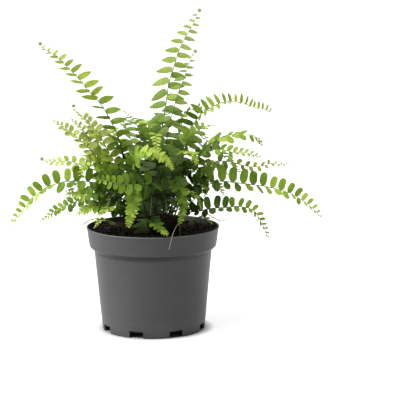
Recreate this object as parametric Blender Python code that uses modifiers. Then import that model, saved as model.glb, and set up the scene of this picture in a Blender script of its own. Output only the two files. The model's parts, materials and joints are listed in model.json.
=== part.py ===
"""A potted Boston fern: a turned plastic pot, its soil, a scaly crown, a runner and arching fronds."""

import math
import random
from typing import NamedTuple

import bmesh
import bpy
from mathutils import Matrix, Vector
from mathutils.bvhtree import BVHTree
from mathutils.kdtree import KDTree

# Sizes are in millimetres, angles in degrees. MM turns a size into metres where a mesh is made.
MM = 0.001
UP = Vector((0, 0, 1))
GAP = 0.35

# Pot: a thin moulded shell with a deep collar, a foot ring and drain slots
RIM_RADIUS = 60.0
POT_HEIGHT = 94.0
COLLAR_HEIGHT = 18.0
COLLAR_FOOT_RADIUS = 57.2
SHOULDER_RADIUS = 53.2
SHOULDER_DROP = 3.0
FOOT_RADIUS = 46.5
WALL = 1.1
FOOT_WALL = 1.6
FLOOR_THICKNESS = 1.2
FLOOR_RISE = 4.0
DISC_RADIUS = 17.0
DISC_SLOPE = 3.0
LIP = 0.6
LIP_BEVEL = 0.3
LIP_STEP = 0.4
LIP_BAND = 1.8
INNER_SHOULDER_LIFT = 0.45
POT_SEGMENTS = 28
SLOT_COUNT = 8
SLOT_WIDTH = 13.0
SLOT_HEIGHT = 6.5
SLOT_REACH = 6.0
SLOT_TURN = 27.0
CUT_PAST = 3.0

# Soil and crown
SOIL_TOP = 89.6
SOIL_RINGS = (34.0, 46.0)
SOIL_LUMP = 1.1
SOIL_FLAT_EDGE = 1.0
PIT_FLOOR = 84.0
CROWN_RADIUS = 24.0
CROWN_SHOULDER = 91.5
CROWN_RISE = 15.5
CROWN_SEGMENTS = 18
CROWN_STEPS = 4
CROWN_LUMP = 0.9
CROWN_LUMP_CLOSENESS = 4.0
# Waves that add up to an uneven surface, each as (turn along X, turn along Y, start, height)
LUMP_WAVES = ((0.31, 0.17, 0.0, 0.36), (-0.41, 0.23, 1.3, 0.36), (0.11, 0.57, 0.6, 0.28))

# Stalk sockets: rings on the crown as (radius, count, turn as a share of one step)
SOCKET_RINGS = ((4.5, 4, 0.0), (10.5, 9, 0.5), (16.5, 14, 0.2), (21.3, 19, 0.6))
FAN_POINT = Vector((0, 0, 58.0))
STALK_DEPTH = 7.0
STALK_LEAD = 4.0

# Fronds
BLADE_THICKNESS = 0.8
RIB_HALF_WIDTH = 0.9
RIB_TIP_HALF_WIDTH = 0.5
LINE_STEP = 2.0
LINE_CLEARANCE = 3.6
PARTING_ROUNDS = 80
STALK_STATION = 18.0
GUIDE_STATION = 6.0
LEAF_WIDTH_SHARE = 0.46
LEAF_LEAST_HALF_WIDTH = 1.7
LEAF_ROOT_SHARE = 0.16
LEAF_SAG = 0.07
LEAF_CLEARANCE = 0.55
TIP_SPLAY_LOSS = 22.0
FIRST_LEAF_SIZE = 0.72
LEAF_SIZE_RISE = 2.2
TIP_LEAF_LOSS = 0.74
TIP_CROWDING = 0.5
SIZE_WANDER = 0.07
FOLD_WANDER = 6.0
SPLAY_WANDER = 5.0
TWIST_WANDER = 8.0
END_LEAF = 4.5
FINE_STEPS = 24
SEED = 11

# Leaflet outlines beyond the root by least length, as (share of the length, share of the half-width)
LEAF_EDGES = (
    (12.0, ((0.5, -1.0), (1.0, 0.1), (0.6, 1.0))),
    (5.0, ((0.8, -1.0), (1.0, 0.6))),
    (0.0, ((1.0, 0.0),)),
)
# The outline that a leaflet keeps clear, beyond its root: narrower at first, then widest
GUARD_EDGE = ((0.3, 0.6), (0.55, 1.0))

# What a leaflet tries, in turn, to stay clear of its neighbours: (lift, twist, lean, size)
LEAF_TRIES = [
    (lift, twist, lean, size)
    for size in (1.0, 0.8, 0.62)
    for lift, twist, lean in (
        (0, 0, 0),
        (14, 0, 0),
        (-14, 0, 0),
        (0, 22, 0),
        (0, -22, 0),
        (0, 0, -14),
        (26, 10, 0),
        (-26, -10, 0),
        (40, 0, -10),
        (-40, 0, -10),
    )
]


class Frond(NamedTuple):
    """One frond. path ends at the tip, stalk is the share without leaflets, and foot its place in the soil.

    Without a foot it grows from the crown, in the socket that its path's first point is nearest to.
    The higher its taper, the nearer to its tip its leaflets shrink. splays are the angles between its
    leaflets and its rib, and lifts what is added to their fold, each for side 1 and side -1.
    """

    path: tuple
    leaf: float
    pitch: float
    stalk: float
    roll: float = 0.0
    fold: float = 12.0
    facing: float | None = None
    foot: tuple | None = None
    tint: float = 0.5
    taper: float = 1.7
    splays: tuple = (80, 80)
    lifts: tuple = (0, 0)


# The fronds that can be told apart, placed by hand. X is right, Y away from the front, Z up.
PLACED_FRONDS = (
    # Tall ones: upper left, the two at the top and upper right
    Frond(((-22, 8, 145), (-31, 10, 174), (-37, 10, 187), (-44, 10, 200), (-50, 10, 208), (-57, 10, 215),
           (-63, 10, 223), (-70, 10, 231), (-77, 10, 238), (-82, 10, 243), (-89, 10, 249), (-96, 10, 253),
           (-100, 10, 257)), 14.5, 11, 0.42, roll=48, fold=38, tint=0.72, taper=3.2, splays=(92, 50),
          lifts=(0, -34)),
    Frond(((5, 9, 140), (10, 12, 189), (13, 13, 206), (15, 13, 221), (20, 13, 237), (24, 13, 250),
           (28, 13, 259), (32, 13, 266), (37, 13, 274), (40, 13, 281), (41, 13, 288)), 16, 12, 0.36,
          facing=-90, fold=6, tint=0.8, taper=3.0, splays=(109, 74)),
    Frond(((10, 0, 140), (15, 1, 184), (19, 2, 198), (22, 2, 209), (28, 2, 225), (32, 2, 236),
           (35, 2, 244), (38, 2, 253)), 11.5, 11, 0.48, facing=-90, tint=0.75, taper=3, splays=(108, 72)),
    Frond(((22, 4, 140), (29, 5, 170), (37, 8, 185), (44, 10, 194), (50, 12, 198), (58, 15, 202),
           (65, 18, 204), (73, 22, 204), (83, 26, 202), (92, 30, 198), (101, 33, 196), (109, 35, 192)),
          27, 10, 0.3, roll=-35, fold=36, tint=0.55, taper=1.0, splays=(88, 92)),
    # Right side, from the top down
    Frond(((28, -6, 135), (47, -6, 164), (55, -9, 171), (63, -10, 176), (72, -10, 178), (80, -10, 179),
           (89, -10, 177), (96, -10, 173), (99, -10, 166)), 12.5, 8.5, 0.42, roll=-25, fold=-8, tint=0.7,
          taper=3, splays=(62, 70)),
    Frond(((24, -10, 128), (46, -16, 163), (55, -20, 166), (64, -23, 166), (72, -25, 164), (81, -27, 164),
           (87, -28, 163), (93, -29, 161), (98, -30, 159)), 12.5, 9.5, 0.38, roll=-30, fold=20, tint=0.45,
          taper=2.4),
    Frond(((28, 4, 120), (54, 10, 149), (68, 10, 151), (79, 10, 148), (88, 10, 146), (95, 10, 146),
           (102, 10, 147), (107, 10, 149), (116, 10, 148), (121, 10, 148), (125, 10, 146)), 10.5, 11,
          0.32, roll=-40, tint=0.45),
    Frond(((22, -12, 122), (43, -14, 134), (54, -16, 137), (64, -18, 137), (74, -19, 136), (84, -20, 135),
           (91, -20, 134), (99, -20, 133), (108, -20, 131), (115, -20, 129), (124, -20, 126),
           (129, -20, 123), (134, -21, 120), (140, -21, 116), (145, -22, 111), (151, -23, 104)), 15.5, 11,
          0.3, roll=-50, fold=38, tint=0.42, taper=1.9, splays=(80, 96)),
    Frond(((26, -10, 112), (45, -13, 110), (54, -14, 112), (67, -15, 113), (75, -15, 114), (82, -15, 113),
           (87, -15, 112), (92, -15, 109), (95, -15, 104), (98, -15, 98), (101, -15, 92), (103, -15, 85)),
          12.5, 9, 0.3, roll=-48, fold=36, tint=0.2, taper=1.1),
    Frond(((16, 0, 140), (21, -6, 157), (30, -10, 170), (38, -14, 179), (44, -17, 184), (50, -20, 187),
           (56, -22, 187)), 12, 9.5, 0.36, facing=-80, fold=4, tint=0.75, taper=3),
    Frond(((14, -10, 130), (23, -26, 159), (29, -34, 166), (34, -42, 166), (38, -47, 163),
           (40, -50, 156)), 13, 9, 0.36, tint=0.95, taper=3),
    Frond(((20, -2, 112), (41, -4, 122), (50, -6, 132), (57, -7, 133), (62, -7, 128), (63, -7, 121)), 14,
          9.5, 0.3, roll=-45, tint=0.1),
    # Left side, from the top down
    Frond(((-20, 0, 125), (-41, 0, 165), (-47, 0, 177), (-54, 0, 185), (-59, 0, 191), (-64, 0, 195),
           (-68, 0, 199), (-73, 0, 201)), 11.5, 10, 0.34, roll=40, tint=0.85, taper=4, splays=(96, 60)),
    Frond(((-18, 10, 130), (-48, 14, 152), (-54, 14, 164), (-58, 14, 173), (-62, 13, 179), (-66, 13, 184),
           (-70, 12, 187), (-75, 12, 191)), 11, 10, 0.36, roll=35, tint=0.85, taper=4, splays=(96, 60)),
    Frond(((-24, 4, 130), (-44, 5, 146), (-52, 5, 158), (-58, 5, 165), (-65, 5, 172), (-71, 5, 177),
           (-77, 5, 182), (-83, 5, 186), (-90, 5, 190)), 12, 10, 0.36, roll=40, tint=0.9, taper=4,
          splays=(94, 66)),
    Frond(((-28, 6, 118), (-50, 8, 142), (-59, 9, 146), (-67, 10, 149), (-73, 10, 151), (-79, 10, 152),
           (-84, 10, 151), (-90, 10, 151), (-96, 10, 152), (-100, 10, 150)), 10.5, 10, 0.36, roll=45,
          tint=0.9, taper=4),
    Frond(((-20, -6, 122), (-47, -11, 133), (-59, -14, 137), (-67, -15, 137), (-77, -15, 137),
           (-85, -15, 135), (-94, -15, 132), (-102, -15, 126), (-108, -15, 122), (-112, -15, 116),
           (-117, -15, 110), (-122, -15, 104), (-127, -15, 96)), 15, 10.5, 0.3, roll=50, fold=38,
          tint=0.55, taper=1.6, splays=(96, 80)),
    Frond(((-20, -4, 112), (-49, -5, 125), (-57, -5, 123), (-67, -5, 118), (-76, -5, 114), (-82, -5, 112),
           (-89, -5, 108), (-95, -5, 103), (-103, -5, 98)), 9.5, 9, 0.3, roll=50, fold=20, tint=0.4,
          taper=2.2),
    Frond(((-22, -14, 118), (-44, -22, 128), (-53, -25, 128), (-62, -25, 127), (-67, -25, 127),
           (-72, -25, 128), (-77, -25, 130)), 10, 8, 0.4, roll=55, fold=20, tint=0.65, taper=3),
    Frond(((-20, -16, 110), (-43, -23, 117), (-50, -25, 116), (-55, -26, 115), (-61, -28, 113),
           (-66, -30, 109)), 13, 8, 0.3, roll=40, tint=0.7, taper=2.4),
    Frond(((-36, -10, 132), (-44, -18, 150), (-53, -24, 157), (-59, -28, 153), (-63, -30, 143)), 13, 9,
          0.34, roll=35, tint=0.45),
    Frond(((-14, -2, 140), (-19, -4, 173), (-24, -8, 187), (-29, -14, 192), (-33, -22, 192)), 15, 10,
          0.38, tint=0.5, taper=3),
    # Towards the front
    Frond(((-6, -20, 140), (-15, -36, 152), (-15, -43, 161), (-9, -48, 166), (0, -51, 168), (7, -54, 166),
           (14, -57, 161), (20, -60, 153)), 13.5, 7.5, 0.38, roll=-35, facing=0, tint=1.0, taper=1.4),
    Frond(((6, -26, 122), (6, -42, 139), (0, -48, 140), (-9, -51, 140), (-21, -53, 140), (-32, -54, 142),
           (-40, -55, 144), (-49, -56, 145)), 13, 8.5, 0.44, roll=62, facing=180, fold=20, tint=0.5),
    Frond(((-5, -26, 120), (-9, -43, 131), (-12, -49, 135), (-14, -52.5, 132), (-15, -55, 125),
           (-16, -57, 118), (-18, -58.5, 111), (-20, -59, 102)), 12.5, 7.5, 0.36, facing=-90, tint=0.78,
          taper=1.2, splays=(88, 108)),
    Frond(((12, -22, 130), (8, -34, 138), (16, -40, 143), (22, -45, 143), (25, -49, 136), (27, -51, 129),
           (28, -53, 122), (27, -54.5, 115), (25, -56, 104)), 11.5, 7.5, 0.34, facing=-68, tint=0.72,
          taper=1.4, splays=(84, 96)),
    Frond(((0, -8, 150), (2, -20, 172), (4, -34, 182), (5, -46, 178), (6, -54, 170)), 13, 9, 0.38,
          tint=0.85),
    Frond(((-14, -20, 108), (-28, -34, 118), (-40, -42, 116), (-50, -48, 106)), 13, 9, 0.3, tint=0.5),
    Frond(((22, 0, 114), (42, 4, 135), (50, 3, 145), (57, 2, 149), (64, 0, 145), (69, -2, 138)), 12, 9,
          0.3, roll=-45, tint=0.15, taper=2.4),
    # Short ones that stand in the soil beside the crown
    Frond(((-4, -43, 104), (-2, -47, 107), (2, -51, 106), (7, -55, 102), (16, -60.5, 95)), 12.5, 7.5,
          0.22, foot=(0, -36), tint=0.8, taper=1.3),
    Frond(((-46, -8, 101), (-55, -7, 101), (-60, -6, 98), (-66, -5, 93)), 7, 7, 0.3, foot=(-35, -9),
          tint=0.45),
    Frond(((46, 0, 106), (53, 0, 102), (62, 0, 98), (72, 0, 102)), 3, 9, 0.3, foot=(42, 1), tint=-1.0),
    Frond(((40, -22, 104), (47, -26, 106), (54, -30, 100)), 10, 7.5, 0.3, foot=(35, -18), tint=0.4),
    Frond(((-38, -28, 103), (-45, -33, 104), (-51, -38, 98)), 10, 7.5, 0.3, foot=(-32, -24), tint=0.5),
    # Short dark ones that hang in front of the crown
    Frond(((-4, -20, 112), (-2, -30, 125), (0, -37, 128), (0, -42, 122), (-1, -44, 111)), 11, 9, 0.3,
          tint=0.0),
    Frond(((6, -20, 112), (8, -28, 124), (11, -35, 129), (13, -40, 121), (14, -42, 111)), 11, 9, 0.3,
          tint=0.0),
    Frond(((-16, -16, 112), (-23, -24, 126), (-31, -30, 129), (-37, -34, 123), (-40, -36, 113)), 11, 9,
          0.3, tint=0.0),
    Frond(((16, -14, 112), (26, -20, 124), (35, -26, 128), (41, -30, 123), (44, -33, 113)), 11, 9.5, 0.3,
          tint=0.05),
)

# The rest fill the back, by a rule. A style is (reach, height of the arch, height of the tip, leaf, pitch).
FILLER_COUNT = 12
FILLER_ARC = (16.0, 164.0)
FILLER_STRIDE = 5
FILLER_STYLES = (
    (62, 198, 194, 14, 15),
    (104, 166, 132, 15, 15),
    (84, 180, 160, 14, 15),
    (98, 138, 104, 14, 15),
)
FILLER_WANDER = 5.0
# A filler's path: shares of its reach, of its rise above the crown, and of its drop from the peak to the tip
FILLER_REACH_SHARES = (0.24, 0.48, 0.68, 0.88, 1.0)
FILLER_RISE_SHARES = (0.52, 0.92, 1.0, 1.0, 1.0)
FILLER_DROP_SHARES = (0.0, 0.0, 0.0, 0.6, 1.0)
FILLER_STALK = 0.36
FILLER_SIZE_RANGE = (0.9, 1.1)
FILLER_PEAK_RANGE = (0.95, 1.05)
FILLER_TINT_RANGE = (0.2, 0.8)
FILLER_FOLD_RANGE = (2.0, 22.0)

# Runner: a thread that grows from the soil, over the rim and down the collar
RUNNER_RADIUS = 0.45
RUNNER_STEP = 2.6
RUNNER_HOLE_DEPTH = 20.0
RUNNER_PATH = ((25, -36, 83), (25, -36, 92), (25, -40, 100), (23, -47, 103), (21, -54, 101),
               (19, -60, 97), (17.6, -62.6, 92), (16.6, -63, 88), (15.6, -62.6, 84))

POT_COLOUR = (0.135, 0.135, 0.14)
SOIL_COLOUR = (0.022, 0.016, 0.012)
CROWN_COLOUR = (0.06, 0.035, 0.018)
RUNNER_COLOUR = (0.33, 0.34, 0.18)
DARK_LEAF = (0.045, 0.11, 0.02)
LIGHT_LEAF = (0.36, 0.52, 0.06)
DRY_LEAF = (0.22, 0.16, 0.08)


def clear_scene():
    for obj in list(bpy.data.objects):
        bpy.data.objects.remove(obj)


def new_collection(name):
    collection = bpy.data.collections.new(name)
    bpy.context.scene.collection.children.link(collection)
    return collection


def material(name, colour, roughness):
    made = bpy.data.materials.new(name)
    made.use_nodes = True
    shader = made.node_tree.nodes["Principled BSDF"]
    shader.inputs["Base Color"].default_value = (*colour, 1)
    shader.inputs["Roughness"].default_value = roughness
    shader.inputs["Metallic"].default_value = 0
    return made


def add_object(name, mesh, collection, finish=None):
    obj = bpy.data.objects.new(name, mesh)
    collection.objects.link(obj)
    if finish:
        mesh.materials.append(finish)
    return obj


def turned(name, profile, segments, collection, finish):
    """An object turned about Z from (radius, height) points that run up its inside and down its outside."""
    mesh = bpy.data.meshes.new(name)
    points = [(radius * MM, 0, height * MM) for radius, height in profile]
    mesh.from_pydata(points, [(i, i + 1) for i in range(len(points) - 1)], [])
    obj = add_object(name, mesh, collection, finish)
    screw = obj.modifiers.new("Screw", "SCREW")
    screw.steps = segments
    screw.render_steps = segments
    screw.use_merge_vertices = True
    screw.merge_threshold = 0.00005
    return obj


def realise(obj):
    """Replaces an object's modifiers by the mesh that they make."""
    graph = bpy.context.evaluated_depsgraph_get()
    mesh = bpy.data.meshes.new_from_object(obj.evaluated_get(graph))
    obj.modifiers.clear()
    obj.data = mesh


def smooth(obj, angle):
    obj.data.shade_smooth()
    obj.data.set_sharp_from_angle(angle=math.radians(angle))


def outer_radius(height):
    """The pot body's outer radius, below the shoulder."""
    share = height / (POT_HEIGHT - COLLAR_HEIGHT - SHOULDER_DROP)
    return FOOT_RADIUS + (SHOULDER_RADIUS - FOOT_RADIUS) * share


def pot_inside():
    """The pot's inner profile from the middle of its floor up to the rim."""
    floor = FLOOR_RISE + FLOOR_THICKNESS
    shoulder = POT_HEIGHT - COLLAR_HEIGHT - SHOULDER_DROP
    return [
        (DISC_RADIUS - FLOOR_THICKNESS, FLOOR_THICKNESS),
        (DISC_RADIUS + DISC_SLOPE - FLOOR_THICKNESS, floor),
        (outer_radius(floor) - WALL, floor),
        (SHOULDER_RADIUS - WALL, shoulder + INNER_SHOULDER_LIFT),
        (COLLAR_FOOT_RADIUS - WALL, shoulder + SHOULDER_DROP + INNER_SHOULDER_LIFT),
        (RIM_RADIUS - LIP_STEP - WALL, POT_HEIGHT - LIP),
    ]


def make_pot(collection, cutters):
    shoulder = POT_HEIGHT - COLLAR_HEIGHT - SHOULDER_DROP
    profile = [(0, FLOOR_THICKNESS), *pot_inside()]
    profile += [
        (RIM_RADIUS - WALL, POT_HEIGHT),
        (RIM_RADIUS - LIP_BEVEL, POT_HEIGHT),
        (RIM_RADIUS, POT_HEIGHT - LIP),
        (RIM_RADIUS - LIP_STEP, POT_HEIGHT - LIP_BAND),
        (COLLAR_FOOT_RADIUS, POT_HEIGHT - COLLAR_HEIGHT),
        (SHOULDER_RADIUS, shoulder),
        (FOOT_RADIUS, 0),
        (FOOT_RADIUS - FOOT_WALL, 0),
        (FOOT_RADIUS - FOOT_WALL, FLOOR_RISE),
        (DISC_RADIUS + DISC_SLOPE, FLOOR_RISE),
        (DISC_RADIUS, 0),
        (0, 0),
    ]
    finish = material("pot_plastic", POT_COLOUR, 0.42)
    pot = turned("pot", profile, POT_SEGMENTS, collection, finish)
    cut(pot, drain_slots(cutters))
    realise(pot)
    smooth(pot, 30)
    return pot


def cut(obj, cutter):
    boolean = obj.modifiers.new("Holes", "BOOLEAN")
    boolean.operation = "DIFFERENCE"
    boolean.object = cutter


def cutter_object(name, bm, collection):
    mesh = bpy.data.meshes.new(name)
    bm.to_mesh(mesh)
    bm.free()
    obj = add_object(name, mesh, collection)
    obj.hide_render = True
    obj.display_type = "WIRE"
    return obj


def add_box(bm, size, matrix):
    """Adds a box of the given size whose base centre is at the matrix's origin."""
    scale = Matrix.Diagonal((size[0], size[1], size[2], 1))
    lift = Matrix.Translation((0, 0, size[2] / 2))
    bmesh.ops.create_cube(bm, size=1, matrix=Matrix.Scale(MM, 4) @ matrix @ lift @ scale)


def drain_slots(collection):
    """Slots through the foot ring and the edge of the floor."""
    bm = bmesh.new()
    outer = FOOT_RADIUS + CUT_PAST
    inner = FOOT_RADIUS - SLOT_REACH
    for step in range(SLOT_COUNT):
        turn = Matrix.Rotation(math.radians(SLOT_TURN + 360 * step / SLOT_COUNT), 4, "Z")
        place = Matrix.Translation(((outer + inner) / 2, 0, -CUT_PAST))
        add_box(bm, (outer - inner, SLOT_WIDTH, SLOT_HEIGHT + CUT_PAST), turn @ place)
    return cutter_object("drain_slots", bm, collection)


def lump(x, y):
    """An uneven height between about -1 and 1."""
    return sum(height * math.sin(a * x + b * y + start) for a, b, start, height in LUMP_WAVES)


def make_soil(collection, holes):
    rim = collar_inside(SOIL_TOP) - GAP
    pit = CROWN_RADIUS + GAP
    inside = [(radius - GAP, height + GAP) for radius, height in pot_inside()[:-1]]
    profile = [(0, PIT_FLOOR), (pit, PIT_FLOOR), (pit, SOIL_TOP)]
    profile += [(radius, SOIL_TOP) for radius in SOIL_RINGS]
    profile += [(rim, SOIL_TOP), *reversed(inside), (0, inside[0][1])]
    soil = turned("soil", profile, POT_SEGMENTS, collection, material("soil", SOIL_COLOUR, 0.95))
    realise(soil)
    for vertex in soil.data.vertices:
        x, y, z = vertex.co / MM
        if z > SOIL_TOP - GAP and math.hypot(x, y) < rim - SOIL_FLAT_EDGE:
            vertex.co.z += SOIL_LUMP * lump(x, y) * MM
    cut(soil, holes)
    realise(soil)
    smooth(soil, 50)
    return soil


def collar_inside(height):
    """The collar's inner radius at a height."""
    low, high = pot_inside()[-2:]
    return low[0] + (high[0] - low[0]) * (height - low[1]) / (high[1] - low[1])


def crown_height(radius):
    return CROWN_SHOULDER + CROWN_RISE * math.sqrt(1 - (radius / CROWN_RADIUS) ** 2)


def make_crown(collection, holes):
    foot = PIT_FLOOR + GAP
    profile = []
    for step in range(CROWN_STEPS + 1):
        angle = math.radians(90 * step / CROWN_STEPS)
        height = CROWN_SHOULDER + CROWN_RISE * math.cos(angle)
        profile.append((CROWN_RADIUS * math.sin(angle), height))
    profile += [(CROWN_RADIUS, foot), (0, foot)]
    finish = material("crown_scales", CROWN_COLOUR, 0.9)
    crown = turned("crown", profile, CROWN_SEGMENTS, collection, finish)
    realise(crown)
    for vertex in crown.data.vertices:
        x, y, z = vertex.co / MM
        if z > CROWN_SHOULDER + GAP:
            rise = CROWN_LUMP * lump(x * CROWN_LUMP_CLOSENESS, y * CROWN_LUMP_CLOSENESS)
            vertex.co *= 1 + rise / z
    cut(crown, holes)
    realise(crown)
    smooth(crown, 50)
    return crown


def hermite(start, end, leave, arrive, share):
    square = share * share
    cube = square * share
    here = start * (2 * cube - 3 * square + 1) + end * (3 * square - 2 * cube)
    return here + leave * (cube - 2 * square + share) + arrive * (cube - square)


def spline(points, leave):
    """Close points along a smooth curve through the given ones, which sets off in the direction leave."""
    gaps = [(b - a).length for a, b in zip(points, points[1:])]
    slopes = [leave.normalized()]
    for i in range(1, len(gaps)):
        slopes.append((points[i + 1] - points[i - 1]) / (gaps[i - 1] + gaps[i]))
    slopes.append((points[-1] - points[-2]) / gaps[-1])
    curve = []
    for i, gap in enumerate(gaps):
        for step in range(FINE_STEPS):
            share = step / FINE_STEPS
            curve.append(hermite(points[i], points[i + 1], slopes[i] * gap, slopes[i + 1] * gap, share))
    curve.append(points[-1])
    return curve


def even_steps(curve, step):
    """Points at equal distances along a curve of close points."""
    spaced = [curve[0]]
    carried = 0.0
    for a, b in zip(curve, curve[1:]):
        length = (b - a).length
        while carried + length >= step:
            a = a.lerp(b, (step - carried) / length)
            length = (b - a).length
            carried = 0.0
            spaced.append(a)
        carried += length
    return spaced


def crown_sockets():
    """The point on the crown of every place where a stalk can stand."""
    seats = []
    for radius, count, turn in SOCKET_RINGS:
        for step in range(count):
            angle = math.tau * (step + turn) / count
            x, y = radius * math.cos(angle), radius * math.sin(angle)
            seats.append(Vector((x, y, crown_height(radius))))
    return seats


def take_seats(fronds):
    """Each frond's foot: its own place in the soil, or the free socket nearest to where its path points.

    Low fronds choose first.
    """
    free = crown_sockets()
    seats = {}
    for index in sorted(range(len(fronds)), key=lambda i: fronds[i].path[0][2]):
        frond = fronds[index]
        if frond.foot:
            seats[index] = Vector((*frond.foot, SOIL_TOP + SOIL_LUMP * lump(*frond.foot)))
            continue
        aim = Vector(frond.path[0])
        share = (crown_height(0) - FAN_POINT.z) / (aim.z - FAN_POINT.z)
        aim = FAN_POINT + (aim - FAN_POINT) * share
        seats[index] = min(free, key=lambda point: math.hypot(point.x - aim.x, point.y - aim.y))
        free.remove(seats[index])
    return [seats[index] for index in range(len(fronds))]


def stalk_direction(frond, seat):
    if frond.foot:
        lean = Vector(frond.path[0]) - seat
        return (lean + UP * lean.length).normalized()
    return (seat - FAN_POINT).normalized()


def frond_line(frond, seat):
    """Points every LINE_STEP from the stalk's foot in its hole to the root of its end leaflet."""
    out = stalk_direction(frond, seat)
    clear_of_crown = seat + out * STALK_LEAD
    path = frond.path if frond.foot else frond.path[1:]
    curve = [seat - out * STALK_DEPTH]
    curve += spline([clear_of_crown, *map(Vector, path)], out)
    return even_steps(curve, LINE_STEP)[: -round(END_LEAF / LINE_STEP)]


def part_lines(lines):
    """Bends the lines apart where they pass closer than LINE_CLEARANCE, leaving their feet in place."""
    held = math.ceil((STALK_DEPTH + STALK_LEAD) / LINE_STEP)
    for _ in range(PARTING_ROUNDS):
        tree = KDTree(sum(map(len, lines)))
        owners = []
        for owner, line in enumerate(lines):
            for point in line:
                tree.insert(point, len(owners))
                owners.append(owner)
        tree.balance()
        for owner, line in enumerate(lines):
            moves = [parting(tree, owners, owner, point) for point in line]
            for i in range(held, len(line)):
                after = moves[min(i + 1, len(line) - 1)]
                line[i] = line[i] + (moves[i - 1] + moves[i] * 2 + after) / 4


def parting(tree, owners, owner, point):
    """How far a point moves to leave the points of the other lines."""
    move = Vector((0, 0, 0))
    for other, index, distance in tree.find_range(point, LINE_CLEARANCE):
        if owners[index] != owner and distance > 0:
            move += (point - other) * (0.5 * (LINE_CLEARANCE - distance) / distance)
    return move


class Rib:
    """The line that a frond's rib follows, and the directions of its blade at any distance along it."""

    def __init__(self, frond, line):
        self.line = line
        self.length = LINE_STEP * (len(line) - 1)
        self.roll = math.radians(frond.roll)
        reach = line[-1] - line[0]
        azimuth = math.atan2(reach.y, reach.x) if frond.facing is None else math.radians(frond.facing)
        self.across = Vector((math.cos(azimuth), math.sin(azimuth), 0)).cross(UP)

    def at(self, distance):
        """(point, along, side, up) at a distance from the foot."""
        place = min(max(distance / LINE_STEP, 0), len(self.line) - 1.001)
        i = int(place)
        point = self.line[i].lerp(self.line[i + 1], place - i)
        back = self.line[max(i - 1, 0)]
        front = self.line[min(i + 2, len(self.line) - 1)]
        along = (front - back).normalized()
        side = (self.across - along * self.across.dot(along)).normalized()
        up = side.cross(along)
        turned_side = side * math.cos(self.roll) + up * math.sin(self.roll)
        return point, along, turned_side, turned_side.cross(along)

    def half_width(self, distance):
        return RIB_HALF_WIDTH + (RIB_TIP_HALF_WIDTH - RIB_HALF_WIDTH) * distance / self.length


class Leaflet:
    """A leaflet at a distance along the rib, on side 1 or -1, with its own directions."""

    def __init__(self, rib, frond, distance, share, side, rng, attempt):
        lift, twist, lean, size = attempt
        self.side = side
        self.distance = distance
        grown = min(1.0, FIRST_LEAF_SIZE + LEAF_SIZE_RISE * share)
        grown *= 1 - TIP_LEAF_LOSS * share**frond.taper
        self.length = frond.leaf * grown * size * (1 + rng.uniform(-1, 1) * SIZE_WANDER)
        self.half_root = LEAF_ROOT_SHARE * frond.pitch * (1 - TIP_CROWDING * share * share)
        self.half_width = max(0.5 * LEAF_WIDTH_SHARE * self.length, LEAF_LEAST_HALF_WIDTH)
        point, along, across, up = rib.at(distance)
        row = 0 if side == 1 else 1
        fold = math.radians(frond.fold + frond.lifts[row] + lift + rng.uniform(-1, 1) * FOLD_WANDER)
        splay = frond.splays[row] - TIP_SPLAY_LOSS * share + lean
        splay = math.radians(splay + rng.uniform(-1, 1) * SPLAY_WANDER)
        flat = across * (side * math.sin(splay)) + along * math.cos(splay)
        self.out = flat * math.cos(fold) + up * math.sin(fold)
        wide = (along - self.out * along.dot(self.out)).normalized()
        twist = math.radians(side * (twist + rng.uniform(-1, 1) * TWIST_WANDER))
        turn = Matrix.Rotation(twist, 3, self.out)
        self.wide = turn @ wide
        self.up = self.out.cross(self.wide) * side
        self.root = point + across * (side * rib.half_width(distance))

    def spot(self, outward, widthways, lift=0.0):
        """A point of the leaflet: outward as a share of its length, widthways and lift in millimetres."""
        lift -= LEAF_SAG * self.length * outward * outward
        return self.root + self.out * (outward * self.length) + self.wide * widthways + self.up * lift

    def edge(self):
        """The outline beyond the root, from its near side round the tip to its far side."""
        outline = next(outline for least, outline in LEAF_EDGES if self.length >= least)
        return [self.spot(out, wide * self.half_width) for out, wide in outline]

    def guard(self):
        """The leaflet swollen by the gap to its neighbours, as points and faces."""
        grow = LEAF_CLEARANCE + BLADE_THICKNESS / 2
        thick = LEAF_CLEARANCE + BLADE_THICKNESS
        tip = 1 + grow / self.length
        near = [(0, self.half_root)]
        near += [(out, wide * self.half_width + grow) for out, wide in GUARD_EDGE]
        outline = [(out, -wide) for out, wide in near] + [(tip, 0)] + near[::-1]
        points = [self.spot(*place, lift) for lift in (-thick, thick) for place in outline]
        count = len(outline)
        faces = [tuple(range(count)), tuple(range(count, 2 * count))]
        faces += [(i, (i + 1) % count, (i + 1) % count + count, i + count) for i in range(count)]
        return points, faces


class Obstacles:
    """Points and faces that leaflets stay clear of."""

    def __init__(self):
        self.points = []
        self.faces = []

    def add(self, points, faces):
        start = len(self.points)
        self.points += points
        self.faces += [tuple(start + index for index in face) for face in faces]

    def add_object(self, obj):
        points = [obj.matrix_world @ vertex.co / MM for vertex in obj.data.vertices]
        self.add(points, [tuple(face.vertices) for face in obj.data.polygons])

    def tree(self):
        return BVHTree.FromPolygons(self.points, self.faces) if self.faces else None


def leaflet_places(rib, frond):
    """(distance, share of the blade, side) of every leaflet, left and right in turn."""
    start = max(frond.stalk * rib.length, STALK_DEPTH + STALK_LEAD + 0.5 * frond.pitch)
    end = rib.length - 0.3 * frond.pitch
    places = []
    distance = start
    side = 1
    while distance < end:
        share = (distance - start) / (rib.length - start)
        places.append((distance, share, side))
        distance += 0.5 * frond.pitch * (1 - TIP_CROWDING * share * share)
        side = -side
    return places


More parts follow.
